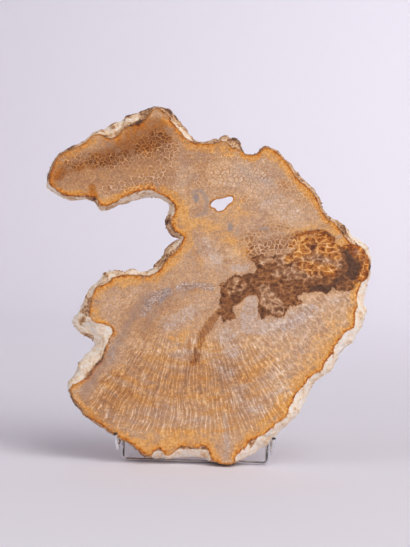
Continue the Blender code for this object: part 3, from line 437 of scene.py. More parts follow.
# Stained areas in millimetres across and up: strength, share that is full, points with their radius
stains = {
    "amber": [
        (0.9, 0.6, [(90, 222, 9), (110, 226, 9), (130, 220, 9)]),
        (1.0, 0.35, [(62, 314, 6), (74, 306, 7), (86, 293, 8), (97, 280, 8), (110, 267, 8), (116, 254, 8),
                     (124, 243, 8), (131, 234, 8)]),
        (0.9, 0.3, [(36, 309, 5), (48, 305, 6), (60, 312, 6)]),
        (0.8, 0.3, [(-18, 319, 7), (-4, 317, 7), (12, 317, 7), (26, 313, 7)]),
        (0.9, 0.2, [(-22, 326, 6), (-33, 338, 5), (-41, 347, 4)]),
        (0.6, 0.1, [(-62, 340, 6), (-72, 334, 7), (-85, 327, 7), (-100, 322, 6)]),
        (0.6, 0.15, [(-112, 324, 5), (-126, 314, 6), (-138, 308, 7)]),
        (0.95, 0.25, [(-147, 300, 7), (-152, 290, 7), (-153, 282, 6)]),
        (0.8, 0.2, [(-150, 276, 5), (-138, 271, 5), (-122, 271, 5), (-112, 270, 6)]),
        (0.9, 0.3, [(-104, 262, 7), (-97, 261, 7), (-86, 268, 7), (-70, 275, 7), (-55, 278, 7),
                    (-42, 274, 8), (-31, 267, 9)]),
        (1.0, 0.3, [(-28, 262, 10), (-25, 250, 13), (-26, 240, 13), (-20, 231, 12), (-18, 222, 9)]),
        (0.6, 0.1, [(-10, 240, 16), (6, 236, 16), (25, 225, 15), (40, 212, 14)]),
        (0.9, 0.25, [(-20, 218, 8), (-28, 208, 8), (-37, 196, 8), (-50, 186, 8), (-70, 183, 8),
                     (-92, 180, 8), (-104, 174, 8)]),
        (0.7, 0.15, [(-108, 166, 9), (-110, 155, 9), (-108, 146, 9), (-96, 135, 9), (-90, 128, 6)]),
        (0.6, 0.1, [(-98, 116, 5), (-104, 101, 5), (-118, 86, 6), (-130, 77, 6)]),
        (0.6, 0.1, [(-126, 68, 6), (-118, 54, 6), (-105, 43, 7), (-90, 33, 8)]),
        (1.0, 0.4, [(-86, 30, 8), (-74, 23, 10), (-62, 17, 10), (-52, 20, 9), (-40, 17, 10), (-30, 24, 10),
                    (-12, 25, 10), (0, 21, 10), (7, 12, 8), (12, 5, 6)]),
        (0.45, 0.1, [(-60, 26, 13), (-30, 30, 13), (0, 28, 13), (14, 22, 11)]),
        (1.0, 0.4, [(30, 8, 6), (36, 19, 8), (46, 28, 9), (60, 36, 11), (72, 47, 12), (80, 58, 13),
                    (88, 72, 14), (98, 84, 13), (112, 95, 12), (122, 107, 11), (128, 120, 10)]),
        (0.8, 0.3, [(128, 120, 10), (136, 128, 10), (145, 136, 9), (147, 148, 8), (149, 162, 8),
                    (151, 176, 7)]),
        (0.55, 0.1, [(130, 135, 22), (110, 110, 24), (90, 82, 24)]),
        (0.9, 0.2, [(84, 204, 7), (98, 213, 10), (114, 217, 10), (130, 208, 9)]),
        (0.9, 0.2, [(96, 198, 9), (112, 193, 11), (128, 192, 8)]),
        (0.95, 0.4, [(140, 221, 8), (150, 216, 8), (158, 208, 8), (162, 196, 8), (157, 186, 8)]),
        (0.35, 0.0, [(-60, 78, 34), (-20, 74, 34), (15, 72, 32), (48, 84, 26)]),
        (0.35, 0.0, [(60, 100, 24), (85, 118, 20)]),
        (0.5, 0.1, [(88, 232, 12), (108, 236, 12), (125, 234, 8)]),
        (0.4, 0.0, [(30, 262, 16), (45, 250, 20), (20, 245, 14)]),
        (0.45, 0.0, [(-38, 118, 22), (-20, 130, 18)]),
    ],
    # broad darker areas over the arm, along the top and across the lower part: partly the stone's own darker
    # tone, partly painted shade that dims the left side
    "darkToneAndShade": [
        (1.0, 0.1, [(-150, 290, 30), (-110, 298, 40), (-60, 312, 44), (-44, 322, 36)]),
        (0.45, 0.0, [(-40, 290, 40), (-5, 303, 34)]),
        (0.8, 0.1, [(-100, 60, 40), (-70, 80, 50), (-15, 83, 50), (30, 80, 44)]),
        (0.6, 0.0, [(-60, 140, 44), (-45, 160, 36)]),
        (0.4, 0.0, [(35, 208, 26)]),
    ],
    "netted": [
        (1.0, 0.2, [(12, 292, 17), (35, 288, 19), (60, 277, 19)]),
        (0.8, 0.0, [(70, 262, 22), (95, 245, 18)]),
        (0.8, 0.0, [(-20, 294, 15), (-24, 277, 13)]),
        (0.5, 0.0, [(30, 212, 13), (0, 200, 15)]),
    ],
    "pocked": [
        (1.0, 0.2, [(50, 220, 10), (62, 218, 12), (78, 221, 12), (94, 228, 9), (110, 230, 7)]),
        (0.9, 0.1, [(46, 208, 9), (60, 208, 9)]),
        (0.5, 0.0, [(38, 226, 12), (58, 234, 12), (80, 236, 9)]),
    ],
    "frost": [
        (0.7, 0.1, [(-54, 166, 10), (-58, 156, 9), (-62, 150, 6)]),
        (1.0, 0.2, [(-57, 164, 8), (-47, 166, 10), (-36, 171, 7)]),
        (0.9, 0.1, [(-25, 176, 6), (-8, 179, 6), (6, 176, 5)]),
        (0.5, 0.0, [(-97, 120, 9), (-92, 104, 10)]),
    ],
    "umber": [
        (0.95, 0.2, [(-112, 303, 12), (-98, 308, 15), (-82, 316, 17), (-62, 323, 18), (-46, 328, 18)]),
        (1.0, 0.5, [(-74, 332, 10), (-60, 338, 12), (-48, 338, 13)]),
        (0.8, 0.3, [(-148, 286, 6), (-143, 296, 7)]),
        (1.0, 0.35, [(-113, 275, 6), (-111, 268, 5)]),
        (0.55, 0.1, [(-140, 296, 12), (-122, 300, 12)]),
        (0.9, 0.4, [(-122, 144, 4), (-125, 141, 4)]),
        (0.35, 0.0, [(-15, 112, 5), (-16, 120, 5)]),
        (0.35, 0.0, [(-62, 163, 16), (-78, 140, 16), (-94, 112, 16), (-118, 80, 14)]),
        (0.5, 0.1, [(-101, 101, 9), (-97, 112, 8)]),
        (0.3, 0.0, [(80, 280, 16), (60, 268, 16)]),
        (0.35, 0.0, [(-10, 212, 14), (-5, 195, 12)]),
        (0.4, 0.0, [(-18, 175, 12), (2, 177, 10)]),
    ],
    "slate": [
        (1.0, 0.2, [(-11, 266, 5), (-10, 263, 4)]),
        (0.6, 0.1, [(-13, 272, 5), (-4, 272, 5), (1, 262, 5), (-1, 252, 6), (-8, 249, 5)]),
        (0.9, 0.2, [(25, 239, 4), (25, 234, 4)]),
        (0.45, 0.1, [(33, 236, 4), (31, 229, 4)]),
        (0.6, 0.1, [(55, 235, 4), (61, 234, 4)]),
        (0.5, 0.1, [(-8, 212, 4), (-5, 213, 4)]),
        (0.35, 0.0, [(-24, 280, 9), (-8, 288, 10)]),
        (0.4, 0.0, [(35, 296, 10), (48, 286, 12), (66, 283, 10)]),
        (0.35, 0.0, [(62, 266, 10), (78, 268, 10)]),
        (0.5, 0.1, [(-46, 160, 6), (-40, 169, 6), (-36, 174, 6)]),
        (0.4, 0.0, [(-22, 170, 8), (-8, 178, 8)]),
        (0.35, 0.0, [(18, 50, 6), (24, 34, 6), (22, 18, 6), (20, 8, 5)]),
        (0.4, 0.0, [(150, 212, 4), (153, 209, 4)]),
        (0.5, 0.0, [(-62, 163, 13), (-78, 136, 13), (-96, 108, 13), (-120, 72, 13)]),
        (0.45, 0.0, [(-50, 152, 13), (-60, 138, 13)]),
    ],
    "milk": [
        (1.0, 0.35, [(46, 161, 9), (44, 150, 13), (44, 140, 15), (56, 137, 13)]),
        (0.75, 0.15, [(56, 137, 15), (80, 140, 14), (98, 148, 12), (108, 155, 10)]),
        (0.7, 0.1, [(22, 128, 18), (30, 112, 16)]),
        (0.85, 0.2, [(30, 196, 6), (42, 194, 6)]),
        (0.75, 0.1, [(-36, 138, 17), (-22, 147, 14), (-10, 152, 10)]),
        (0.7, 0.1, [(10, 100, 12), (36, 76, 14), (30, 60, 12), (50, 56, 14)]),
        (0.6, 0.0, [(20, 44, 7), (23, 24, 7), (21, 10, 6)]),
        (0.9, 0.3, [(72, 189, 5), (71, 193, 4)]),
        (0.4, 0.0, [(60, 262, 14), (90, 250, 14)]),
        (0.45, 0.0, [(-2, 222, 12), (10, 206, 12), (20, 190, 12)]),
        (0.5, 0.0, [(120, 160, 14), (135, 164, 10)]),
    ],
    "chalk": [
        (1.0, 0.75, [(150, 238, 10), (160, 222, 10), (170, 205, 8)]),
        (1.0, 0.8, [(166, 188, 7), (160, 176, 9), (160, 150, 12), (154, 132, 12), (142, 118, 12),
                    (130, 104, 11), (116, 90, 11), (106, 76, 12), (98, 60, 12), (86, 46, 11), (72, 32, 11),
                    (60, 22, 11), (50, 12, 8), (38, 6, 6)]),
        (1.0, 0.7, [(0, 9, 7), (-14, 10, 7), (-30, 8, 6), (-47, 9, 6)]),
        (0.8, 0.7, [(-100, 132, 9), (-112, 137, 9), (-122, 138, 9), (-130, 147, 7)]),
        (0.8, 0.75, [(-104, 124, 8), (-108, 112, 8), (-118, 100, 9), (-128, 88, 9), (-138, 79, 6)]),
        (0.65, 0.35, [(-158, 278, 7), (-150, 268, 7), (-138, 262, 7), (-122, 262, 7), (-113, 255, 7),
                      (-97, 252, 8)]),
        (0.62, 0.35, [(-97, 252, 8), (-86, 258, 8), (-70, 267, 7), (-50, 271, 7), (-38, 262, 7),
                      (-32, 250, 6)]),
        (0.6, 0.3, [(-124, 158, 8), (-117, 170, 8), (-110, 182, 8), (-98, 190, 7)]),
        (1.0, 0.4, [(40, 16, 8), (34, 8, 6)]),
        (0.48, 0.4, [(-70, 349, 7), (-80, 345, 7), (-95, 336, 7), (-110, 333, 6), (-126, 322, 5)]),
        (0.5, 0.4, [(-34, 342, 6), (-22, 333, 6), (-16, 328, 5)]),
        (0.3, 0.3, [(20, 326, 5), (28, 324, 5)]),
        (0.4, 0.3, [(-24, 226, 4), (-30, 220, 4), (-38, 210, 4)]),
        (0.55, 0.4, [(-96, 190, 6), (-70, 193, 6), (-52, 194, 6)]),
    ],
    "ink": [
        (1.0, 0.3, [(142, 212, 4), (144, 204, 5), (147, 197, 7), (145, 190, 7), (148, 187, 5)]),
        (0.8, 0.2, [(153, 200, 4), (151, 190, 5)]),
        (0.8, 0.4, [(128, 178, 3.5), (137, 186, 4)]),
        (0.9, 0.4, [(106, 173.5, 3), (114, 175.5, 4), (121, 174, 5), (128, 177.5, 3)]),
        (0.7, 0.3, [(147, 178, 3), (148, 176, 3)]),
    ],
    "rings": [
        (1.0, 0.4, [(-60, 316, 16), (-46, 322, 17), (-42, 310, 15)]),
        (0.85, 0.3, [(-134, 302, 9), (-118, 305, 10), (-98, 302, 12), (-80, 306, 12)]),
        (0.6, 0.3, [(-100, 275, 10), (-80, 278, 10), (-55, 283, 12), (-35, 292, 12)]),
        (0.7, 0.3, [(8, 290, 9), (22, 291, 9), (42, 284, 10), (60, 290, 9)]),
        (0.7, 0.3, [(46, 214, 9), (60, 215, 10), (76, 214, 11), (90, 222, 11)]),
        (0.4, 0.1, [(-40, 300, 50), (40, 290, 50), (90, 262, 40)]),
    ],
    "fan": [
        (1.0, 0.55, [(-86, 66, 34), (-60, 70, 46), (-20, 70, 52), (20, 70, 54), (52, 74, 46)]),
        (0.8, 0.3, [(-56, 106, 36), (0, 108, 36), (40, 104, 36)]),
    ],
    "slant": [
        (1.0, 0.5, [(70, 120, 28), (96, 134, 34), (118, 146, 34), (134, 158, 24)]),
        (0.9, 0.4, [(74, 98, 26), (98, 112, 24)]),
    ],
    "leftSlant": [
        (1.0, 0.4, [(-112, 70, 28), (-96, 92, 30), (-78, 116, 30)]),
        (0.7, 0.3, [(-84, 150, 26), (-66, 160, 24)]),
    ],
}

# Brown patch, clockwise
patchTable = np.array([
    (18, 140.5), (16, 144), (17, 147), (13, 148.5), (11, 151.5), (13, 154), (16, 155.5), (14, 159),
    (14, 164), (15.5, 168), (15, 172), (16, 176), (14.5, 179.5), (18, 180.5), (22, 183), (26, 187),
    (31, 189), (36, 187.5), (41, 189), (44, 190), (48, 189.5), (50.5, 191), (52, 193), (50.5, 198),
    (49.5, 200.5), (45.5, 203.5), (46.5, 206.5), (50, 207.5), (53, 208.5), (56, 209.5), (60, 208),
    (66, 207.5), (70, 210), (75, 209), (80, 211), (86, 211), (91, 215), (95, 220), (100, 225),
    (104, 227.5), (107, 226), (112, 229), (117, 229.5), (120, 232), (124, 229.8), (128, 229),
    (130.5, 226), (131, 221), (133, 218.5), (137, 216.5), (140, 218.5), (143, 219), (147, 219),
    (151, 219), (155, 218.5), (161, 214), (167, 205), (169, 197), (167, 189), (164, 183), (157, 181.5),
    (152, 180.5), (150, 177.5), (148, 173), (145, 171.5), (139, 171.5), (134, 171.8), (130, 173.5),
    (128, 175.5), (126, 173), (124, 170.5), (121.5, 168.8), (119, 169.5), (117, 172), (112, 172.5),
    (108, 171), (104, 169.8), (99, 170), (96, 168), (93, 166.5), (93.5, 163.5), (97, 162),
    (98.5, 160.3), (95, 158.3), (91, 157.5), (86, 157), (83, 155.5), (80.5, 152), (79.5, 149.5),
    (76.5, 147), (72, 145.5), (68, 147), (65.5, 149), (61, 148.5), (59.5, 147), (58.5, 144.5),
    (56, 145), (54, 147), (53.5, 150.5), (52.5, 154), (52.5, 158), (53.5, 162), (52.5, 166),
    (50, 168), (46, 167.5), (42.5, 167), (40, 165.5), (37.5, 162.5), (34, 160), (30.5, 158.5),
    (27.5, 157.5), (28, 153), (30.5, 148), (30.5, 145), (27, 144), (25.5, 142.5), (22.5, 143.5),
    (20.5, 140.5),
], dtype=float)
# paler parts within it
patchWindows = [
    (0.95, 0.5, [(60, 172, 10), (66, 162, 13), (72, 156, 10)]),
    (0.8, 0.3, [(58, 203, 7), (66, 204, 6)]),
    (1.0, 0.4, [(71, 191, 6), (76, 192, 5)]),
    (0.55, 0.2, [(22, 178, 5), (32, 184, 5), (26, 170, 6)]),
    (0.8, 0.5, [(78, 206, 11), (92, 214, 13), (108, 218, 13), (124, 216, 12), (128, 202, 13), (112, 194, 14),
                (94, 194, 14), (84, 190, 9)]),
    (0.7, 0.5, [(96, 206, 12), (118, 206, 12)]),
    (0.8, 0.3, [(156, 210, 7), (161, 197, 6), (157, 187, 5)]),
    (0.7, 0.2, [(40, 178, 6), (34, 172, 6)]),
]
patchCrack = [(90, 227, 1.2), (101, 231, 1.6), (112, 233, 1.9), (122, 231, 1.9), (130, 226, 1.4)]
patchTail = [(11, 148, 4.6), (2, 137, 5.2), (-3, 127, 4.4), (-6, 118, 4.0), (-8, 110, 4.6), (-11, 101, 3.0)]
fan = {"across": -12.0, "up": 203.0, "reference": 100.0}


def alongPath(spots, path):
    # for each stretch of the path: distance from its middle line, and its radius there
    path = np.array(path, dtype=float)
    for start, end in zip(path[:-1], path[1:]):
        run = end[:2] - start[:2]
        share = np.clip((spots - start[:2]) @ run / (run @ run), 0, 1)
        gap = np.linalg.norm(spots - start[:2] - share[:, None] * run, axis=1)
        yield gap, start[2] + (end[2] - start[2]) * share


def strokeMask(spots, strokes):
    # 1 in the core of a tapering stroke, easing to 0 at its radius; strokes keep the greater value
    mask = np.zeros(len(spots))
    for strength, core, path in strokes:
        for gap, radius in alongPath(spots, path):
            mask = np.maximum(mask, strength * eased((1 - gap / radius) / (1 - core)))
    return mask


def signedDistance(spots, ring, limit):
    # distance inside a ring, negative outside, cut off at the limit
    low, high = ring.min(axis=0) - limit, ring.max(axis=0) + limit
    near = ((spots > low) & (spots < high)).all(axis=1)
    found = np.full(len(spots), -limit)
    distance = ringDistance(spots[near], ring)
    found[near] = np.clip(np.where(insideRing(spots[near], ring), distance, -distance), -limit, limit)
    return found


def markSlab():
    # the stains run through the stone, wandering a little with depth
    deep = slabPlace[:, 2:] / slab["thickness"]
    wander = np.column_stack([softNoise(slabPlace, 24.0, 31), softNoise(slabPlace, 24.0, 32)])
    ripple = np.column_stack([softNoise(slabPlace, 7.0, 33), softNoise(slabPlace, 7.0, 34)])
    spots = slabPlace[:, :2] + wander * (0.8 + 3.5 * deep) + 1.6 * ripple
    for name, strokes in stains.items():
        pointValues(coralSlab, name, strokeMask(spots, strokes))
    depth = signedDistance(spots - 1.2 * ripple, patchTable, 14.0)
    for gap, radius in alongPath(spots - 0.8 * ripple, patchCrack):
        depth = np.maximum(depth, radius - gap)
    pointValues(coralSlab, "patch", depth)
    tail = np.full(len(spots), -10.0)
    for gap, radius in alongPath(spots, patchTail):
        tail = np.maximum(tail, radius - gap)
    pointValues(coralSlab, "crack", tail)
    pointValues(coralSlab, "patchWindow", strokeMask(spots, patchWindows))
    pointValues(coralSlab, "edge", np.clip(slabEdge, -20, 40))
    pointValues(coralSlab, "relief", slabRelief)
    pointValues(coralSlab, "place", slabPlace)
    bent = slabPlace[:, :2] + 1.6 * wander - (fan["across"], fan["up"])
    angle = np.arctan2(bent[:, 0], np.maximum(-bent[:, 1], 1.0))
    length = np.linalg.norm(bent, axis=1)
    pointValues(coralSlab, "fanPlace", np.column_stack([angle * fan["reference"], length, slabPlace[:, 2]]))


markSlab()
print("slab: stains marked")


def paint(red, green, blue):
    # display colour from 0 to 255 as the linear colour that nodes take
    share = np.array([red, green, blue]) / 255
    linear = np.where(share <= 0.04045, share / 12.92, ((share + 0.055) / 1.055) ** 2.4)
    return (*linear.tolist(), 1.0)


def plug(tree, socket, value):
    if isinstance(value, bpy.types.NodeSocket):
        tree.links.new(value, socket)
    else:
        socket.default_value = value


def addNode(tree, kind, inputs, **settings):
    node = tree.nodes.new("ShaderNode" + kind)
    for key, value in settings.items():
        setattr(node, key, value)
    for key, value in inputs.items():
        plug(tree, node.inputs[key], value)
    return node


def worked(tree, operation, first, second=0.0):
    return addNode(tree, "Math", {0: first, 1: second}, operation=operation).outputs[0]


def times(tree, first, *others):
    for other in others:
        first = worked(tree, "MULTIPLY", first, other)
    return first


def added(tree, first, *terms):
    # first + value x weight for each term
    for value, weight in terms:
        first = addNode(tree, "Math", {0: value, 1: weight, 2: first}, operation="MULTIPLY_ADD").outputs[0]
    return first


def swung(tree, mask, noise, reach):
    # a mask pushed up and down by noise
    return added(tree, mask, (worked(tree, "SUBTRACT", noise, 0.5), reach))


def ramped(tree, value, low, high):
    # 0 at low, 1 at high, eased between; low may be the greater
    inputs = {"Value": value, "From Min": low, "From Max": high, "To Min": 0.0, "To Max": 1.0}
    return addNode(tree, "MapRange", inputs, interpolation_type="SMOOTHSTEP").outputs["Result"]


def scaled(tree, value, low, high):
    # a value from 0 to 1 stretched from low to high
    return addNode(tree, "MapRange", {"Value": value, "To Min": low, "To Max": high}).outputs["Result"]


def blended(tree, share, low, high):
    return addNode(tree, "Mix", {0: share, 6: low, 7: high}, data_type="RGBA").outputs[2]


def between(tree, share, low, high):
    return addNode(tree, "Mix", {0: share, 2: low, 3: high}).outputs[0]


def toneScale(*tones):
    # each tone: position from 0 to 1, then a display colour
    return [(position, paint(*colour)) for position, *colour in tones]


def toned(tree, value, tones):
    # colour along a scale of (position, colour) tones
    node = addNode(tree, "ValToRGB", {"Fac": value})
    scale = node.color_ramp.elements
    while len(scale) < len(tones):
        scale.new(0.5)
    for element, (position, colour) in zip(scale, tones):
        element.position, element.color = position, colour
    return node.outputs["Color"]


def shaded(tree, colour, amount):
    return addNode(tree, "VectorMath", {0: colour, "Scale": amount}, operation="SCALE").outputs[0]


def vectored(tree, operation, first, second):
    return addNode(tree, "VectorMath", {0: first, 1: second}, operation=operation).outputs[0]


def stored(tree, name, output="Fac"):
    return addNode(tree, "Attribute", {}, attribute_name=name).outputs[output]


def noised(tree, spot, pitch, detail=3.0, rough=0.55):
    # noise that fills the range from 0 to 1
    inputs = {"Vector": spot, "Scale": 1 / pitch, "Detail": detail, "Roughness": rough}
    noise = addNode(tree, "TexNoise", inputs).outputs["Fac"]
    return addNode(tree, "MapRange", {"Value": noise, "From Min": 0.3, "From Max": 0.7}).outputs["Result"]


def newGroup(name, inputs, outputs):
    group = bpy.data.node_groups.new(name, "ShaderNodeTree")
    for title, kind, value in inputs:
        socket = group.interface.new_socket(title, in_out="INPUT", socket_type="NodeSocket" + kind)
        if value is not None:
            socket.default_value = value
    for title, kind in outputs:
        group.interface.new_socket(title, in_out="OUTPUT", socket_type="NodeSocket" + kind)
    return group, group.nodes.new("NodeGroupInput").outputs, group.nodes.new("NodeGroupOutput").inputs


def placeGroup(tree, group, **inputs):
    node = tree.nodes.new("ShaderNodeGroup")
    node.node_tree = group
    for key, value in inputs.items():
        plug(tree, node.inputs[key], value)
    return node.outputs


def newMaterial(name):
    material = bpy.data.materials.new(name)
    material.use_nodes = True
    return material, material.node_tree, material.node_tree.nodes["Principled BSDF"]


def bumped(tree, shader, strength, distance, height):
    bump = addNode(tree, "Bump", {"Strength": strength, "Distance": distance, "Height": height})
    plug(tree, shader.inputs["Normal"], bump.outputs[0])


def resized(tree, spot, pitch):
    return shaded(tree, spot, worked(tree, "DIVIDE", 1.0, pitch))


hexRise = math.sqrt(3) / 2   # height of a hexagonal lattice's row


def makeHoneycomb():
    # tubes packed in a hexagonal lattice: distance from the wall, from the middle, and chance per tube
    group, given, result = newGroup(
        "honeycomb", [("Spot", "Vector", None), ("Pitch", "Float", 4.7)],
        [("Wall", "Float"), ("Middle", "Float"), ("Chance", "Float")])
    spot = vectored(group, "MULTIPLY", resized(group, given["Spot"], given["Pitch"]), (1, 1, 0))
    half, less, flat = (0.5, hexRise, 0.5), (-0.5, -hexRise, -0.5), (1, 1, 0)
    offsets = []
    for start in (spot, vectored(group, "ADD", spot, half)):
        wrapped = addNode(group, "VectorMath", {0: start, 1: half, 2: less}, operation="WRAP").outputs[0]
        offsets.append(vectored(group, "MULTIPLY", wrapped, flat))
    lengths = [addNode(group, "VectorMath", {0: v}, operation="LENGTH").outputs["Value"] for v in offsets]
    nearer = worked(group, "LESS_THAN", lengths[1], lengths[0])
    local = addNode(group, "Mix", {0: nearer, 4: offsets[0], 5: offsets[1]}, data_type="VECTOR").outputs[1]
    folded = vectored(group, "ABSOLUTE", local, (0, 0, 0))
    slope = addNode(group, "VectorMath", {0: folded, 1: (0.5, hexRise, 0)}, operation="DOT_PRODUCT")
    side = addNode(group, "SeparateXYZ", {0: folded}).outputs[0]
    wall = worked(group, "SUBTRACT", 0.5, worked(group, "MAXIMUM", slope.outputs["Value"], side))
    centre = vectored(group, "ADD", vectored(group, "SUBTRACT", spot, local), (0.25, 0.43, 0))
    centre = vectored(group, "SNAP", centre, (0.5, hexRise, 1))
    chance = addNode(group, "TexWhiteNoise", {"Vector": centre}).outputs["Value"]
    middle = worked(group, "MINIMUM", *lengths)
    for title, value in (("Wall", wall), ("Middle", middle), ("Chance", chance)):
        group.links.new(value, result[title])
    return group


def makeSplinters():
    # loosely packed tubes: distance from the wall, from the middle, and chance per tube
    group, given, result = newGroup(
        "splinters", [("Spot", "Vector", None), ("Pitch", "Float", 4.7), ("Jitter", "Float", 0.9)],
        [("Wall", "Float"), ("Middle", "Float"), ("Chance", "Float")])
    cells = {"Vector": resized(group, given["Spot"], given["Pitch"]), "Scale": 1.0,
             "Randomness": given["Jitter"]}
    near = addNode(group, "TexVoronoi", cells, voronoi_dimensions="2D", feature="F1")
    wall = addNode(group, "TexVoronoi", cells, voronoi_dimensions="2D", feature="DISTANCE_TO_EDGE")
    chance = addNode(group, "SeparateColor", {0: near.outputs["Color"]}).outputs[0]
    for title, value in (("Wall", wall.outputs["Distance"]), ("Middle", near.outputs["Distance"]),
                         ("Chance", chance)):
        group.links.new(value, result[title])
    return group


def makeWander():
    # place moved about by soft noise, so that nothing runs ruler-straight
    group, given, result = newGroup(
        "wander", [("Spot", "Vector", None), ("Pitch", "Float", 8.0), ("Reach", "Float", 1.0)],
        [("Spot", "Vector")])
    noise = addNode(group, "TexNoise", {"Vector": resized(group, given["Spot"], given["Pitch"]),
                                        "Scale": 1.0, "Detail": 1.5})
    centred = vectored(group, "SUBTRACT", noise.outputs["Color"], (0.5, 0.5, 0.5))
    moved = shaded(group, centred, times(group, given["Reach"], 4.0))
    group.links.new(vectored(group, "ADD", given["Spot"], moved), result["Spot"])
    return group


def makeSpecks():
    # small scattered marks: 1 in the marks, 0 elsewhere
    group, given, result = newGroup(
        "specks", [("Spot", "Vector", None), ("Pitch", "Float", 2.0), ("Share", "Float", 0.3)],
        [("Mask", "Float")])
    noise = noised(group, resized(group, given["Spot"], given["Pitch"]), 1.0, 4.0, 0.6)
    cut = worked(group, "SUBTRACT", 1.0, given["Share"])
    group.links.new(ramped(group, noise, cut, worked(group, "ADD", cut, 0.2)), result["Mask"])
    return group


honeycomb, splinters, wander, specks = makeHoneycomb(), makeSplinters(), makeWander(), makeSpecks()

coral = {
    # stone from dark to light, once greyish and once rich with rust
    "grey": toneScale((0.0, 75, 52, 40), (0.25, 125, 94, 72), (0.5, 172, 138, 117), (0.65, 194, 168, 154),
                      (0.8, 214, 195, 186), (1.0, 244, 234, 230)),
    "rusty": toneScale((0.0, 100, 44, 10), (0.25, 166, 94, 32), (0.5, 210, 142, 64), (0.65, 230, 172, 100),
                       (0.8, 244, 200, 150), (1.0, 254, 236, 214)),
    "gold": toneScale((0.0, 120, 50, 8), (0.25, 182, 88, 18), (0.4, 208, 118, 30), (0.54, 230, 152, 52),
                      (0.68, 240, 178, 88), (0.9, 250, 210, 150)),
    # from clean chalk to stained crust
    "crust": toneScale((0.0, 255, 247, 238), (0.2, 253, 232, 208), (0.4, 236, 200, 162),
                       (0.58, 200, 150, 106), (0.78, 142, 94, 62), (1.0, 84, 62, 52)),
    "slate": paint(140, 134, 138), "ink": paint(56, 44, 40),
}


def slanted(tree, spot, degrees, stretch):
    # turned so that the tubes run up the second axis, and shortened along them
    inputs = {"Vector": spot, "Rotation": (0, 0, math.radians(degrees)), "Scale": (1, stretch, 1)}
    return addNode(tree, "Mapping", inputs, vector_type="TEXTURE").outputs[0]


def crossCut(tree, spot, show):
    # honeycomb of tubes cut across: pale walls, and a dark ring inside each wall
    cells = placeGroup(tree, honeycomb, Spot=spot, Pitch=4.9)
    wall = ramped(tree, cells["Wall"], 0.12, 0.02)
    ring = times(tree, ramped(tree, cells["Wall"], 0.08, 0.17), ramped(tree, cells["Middle"], 0.05, 0.22))
    pock = times(tree, ramped(tree, cells["Wall"], 0.1, 0.3), scaled(tree, cells["Chance"], 0.4, 1.2))
    return times(tree, wall, show), times(tree, ring, show, scaled(tree, cells["Chance"], 0.55, 1.15)), pock


def fanCut(tree, small):
    # tubes cut along, as splinters of light in bands whose number grows outward
    fanPlace = stored(tree, "fanPlace", "Vector")
    spot = placeGroup(tree, wander, Spot=fanPlace, Pitch=18.0, Reach=0.9)["Spot"]
    reach = swung(tree, addNode(tree, "SeparateXYZ", {0: fanPlace}).outputs[1], small, 40.0)
    walls, chances = [], []
    for across in (0.8, 1.05, 1.3):
        stretched = vectored(tree, "MULTIPLY", spot, (across, 0.066, 1))
        tubes = placeGroup(tree, splinters, Spot=stretched, Pitch=3.2, Jitter=1.0)
        walls.append(ramped(tree, tubes["Wall"], 0.2, 0.0))
        chances.append(tubes["Chance"])
    second, third = ramped(tree, reach, 88.0, 104.0), ramped(tree, reach, 126.0, 144.0)
    wall = between(tree, third, between(tree, second, walls[0], walls[1]), walls[2])
    chance = between(tree, third, between(tree, second, chances[0], chances[1]), chances[2])
    fibre = noised(tree, vectored(tree, "MULTIPLY", spot, (1, 0.12, 1)), 1.4, 3.0, 0.7)
    band = noised(tree, vectored(tree, "MULTIPLY", fanPlace, (0.25, 1, 1)), 11.0, 3.0, 0.6)
    show = ramped(tree, swung(tree, stored(tree, "fan"), small, 0.5), 0.2, 0.8)
    wall = times(tree, wall, scaled(tree, fibre, 0.3, 1.2), scaled(tree, small, 0.3, 1.15))
    return show, wall, chance, fibre, band


def slantCut(tree, spot, small, name, degrees, stretch, pitch):
    # a field where the tubes lie over to one side
    cells = placeGroup(tree, splinters, Spot=slanted(tree, spot, degrees, stretch), Pitch=pitch, Jitter=0.5)
    show = ramped(tree, swung(tree, stored(tree, name), small, 0.6), 0.15, 0.75)
    wall = times(tree, ramped(tree, cells["Wall"], 0.17, 0.0), show, scaled(tree, small, 0.3, 1.1))
    hollow = times(tree, ramped(tree, cells["Wall"], 0.14, 0.34), show,
                   scaled(tree, cells["Chance"], 0.1, 1.0))
    return wall, hollow


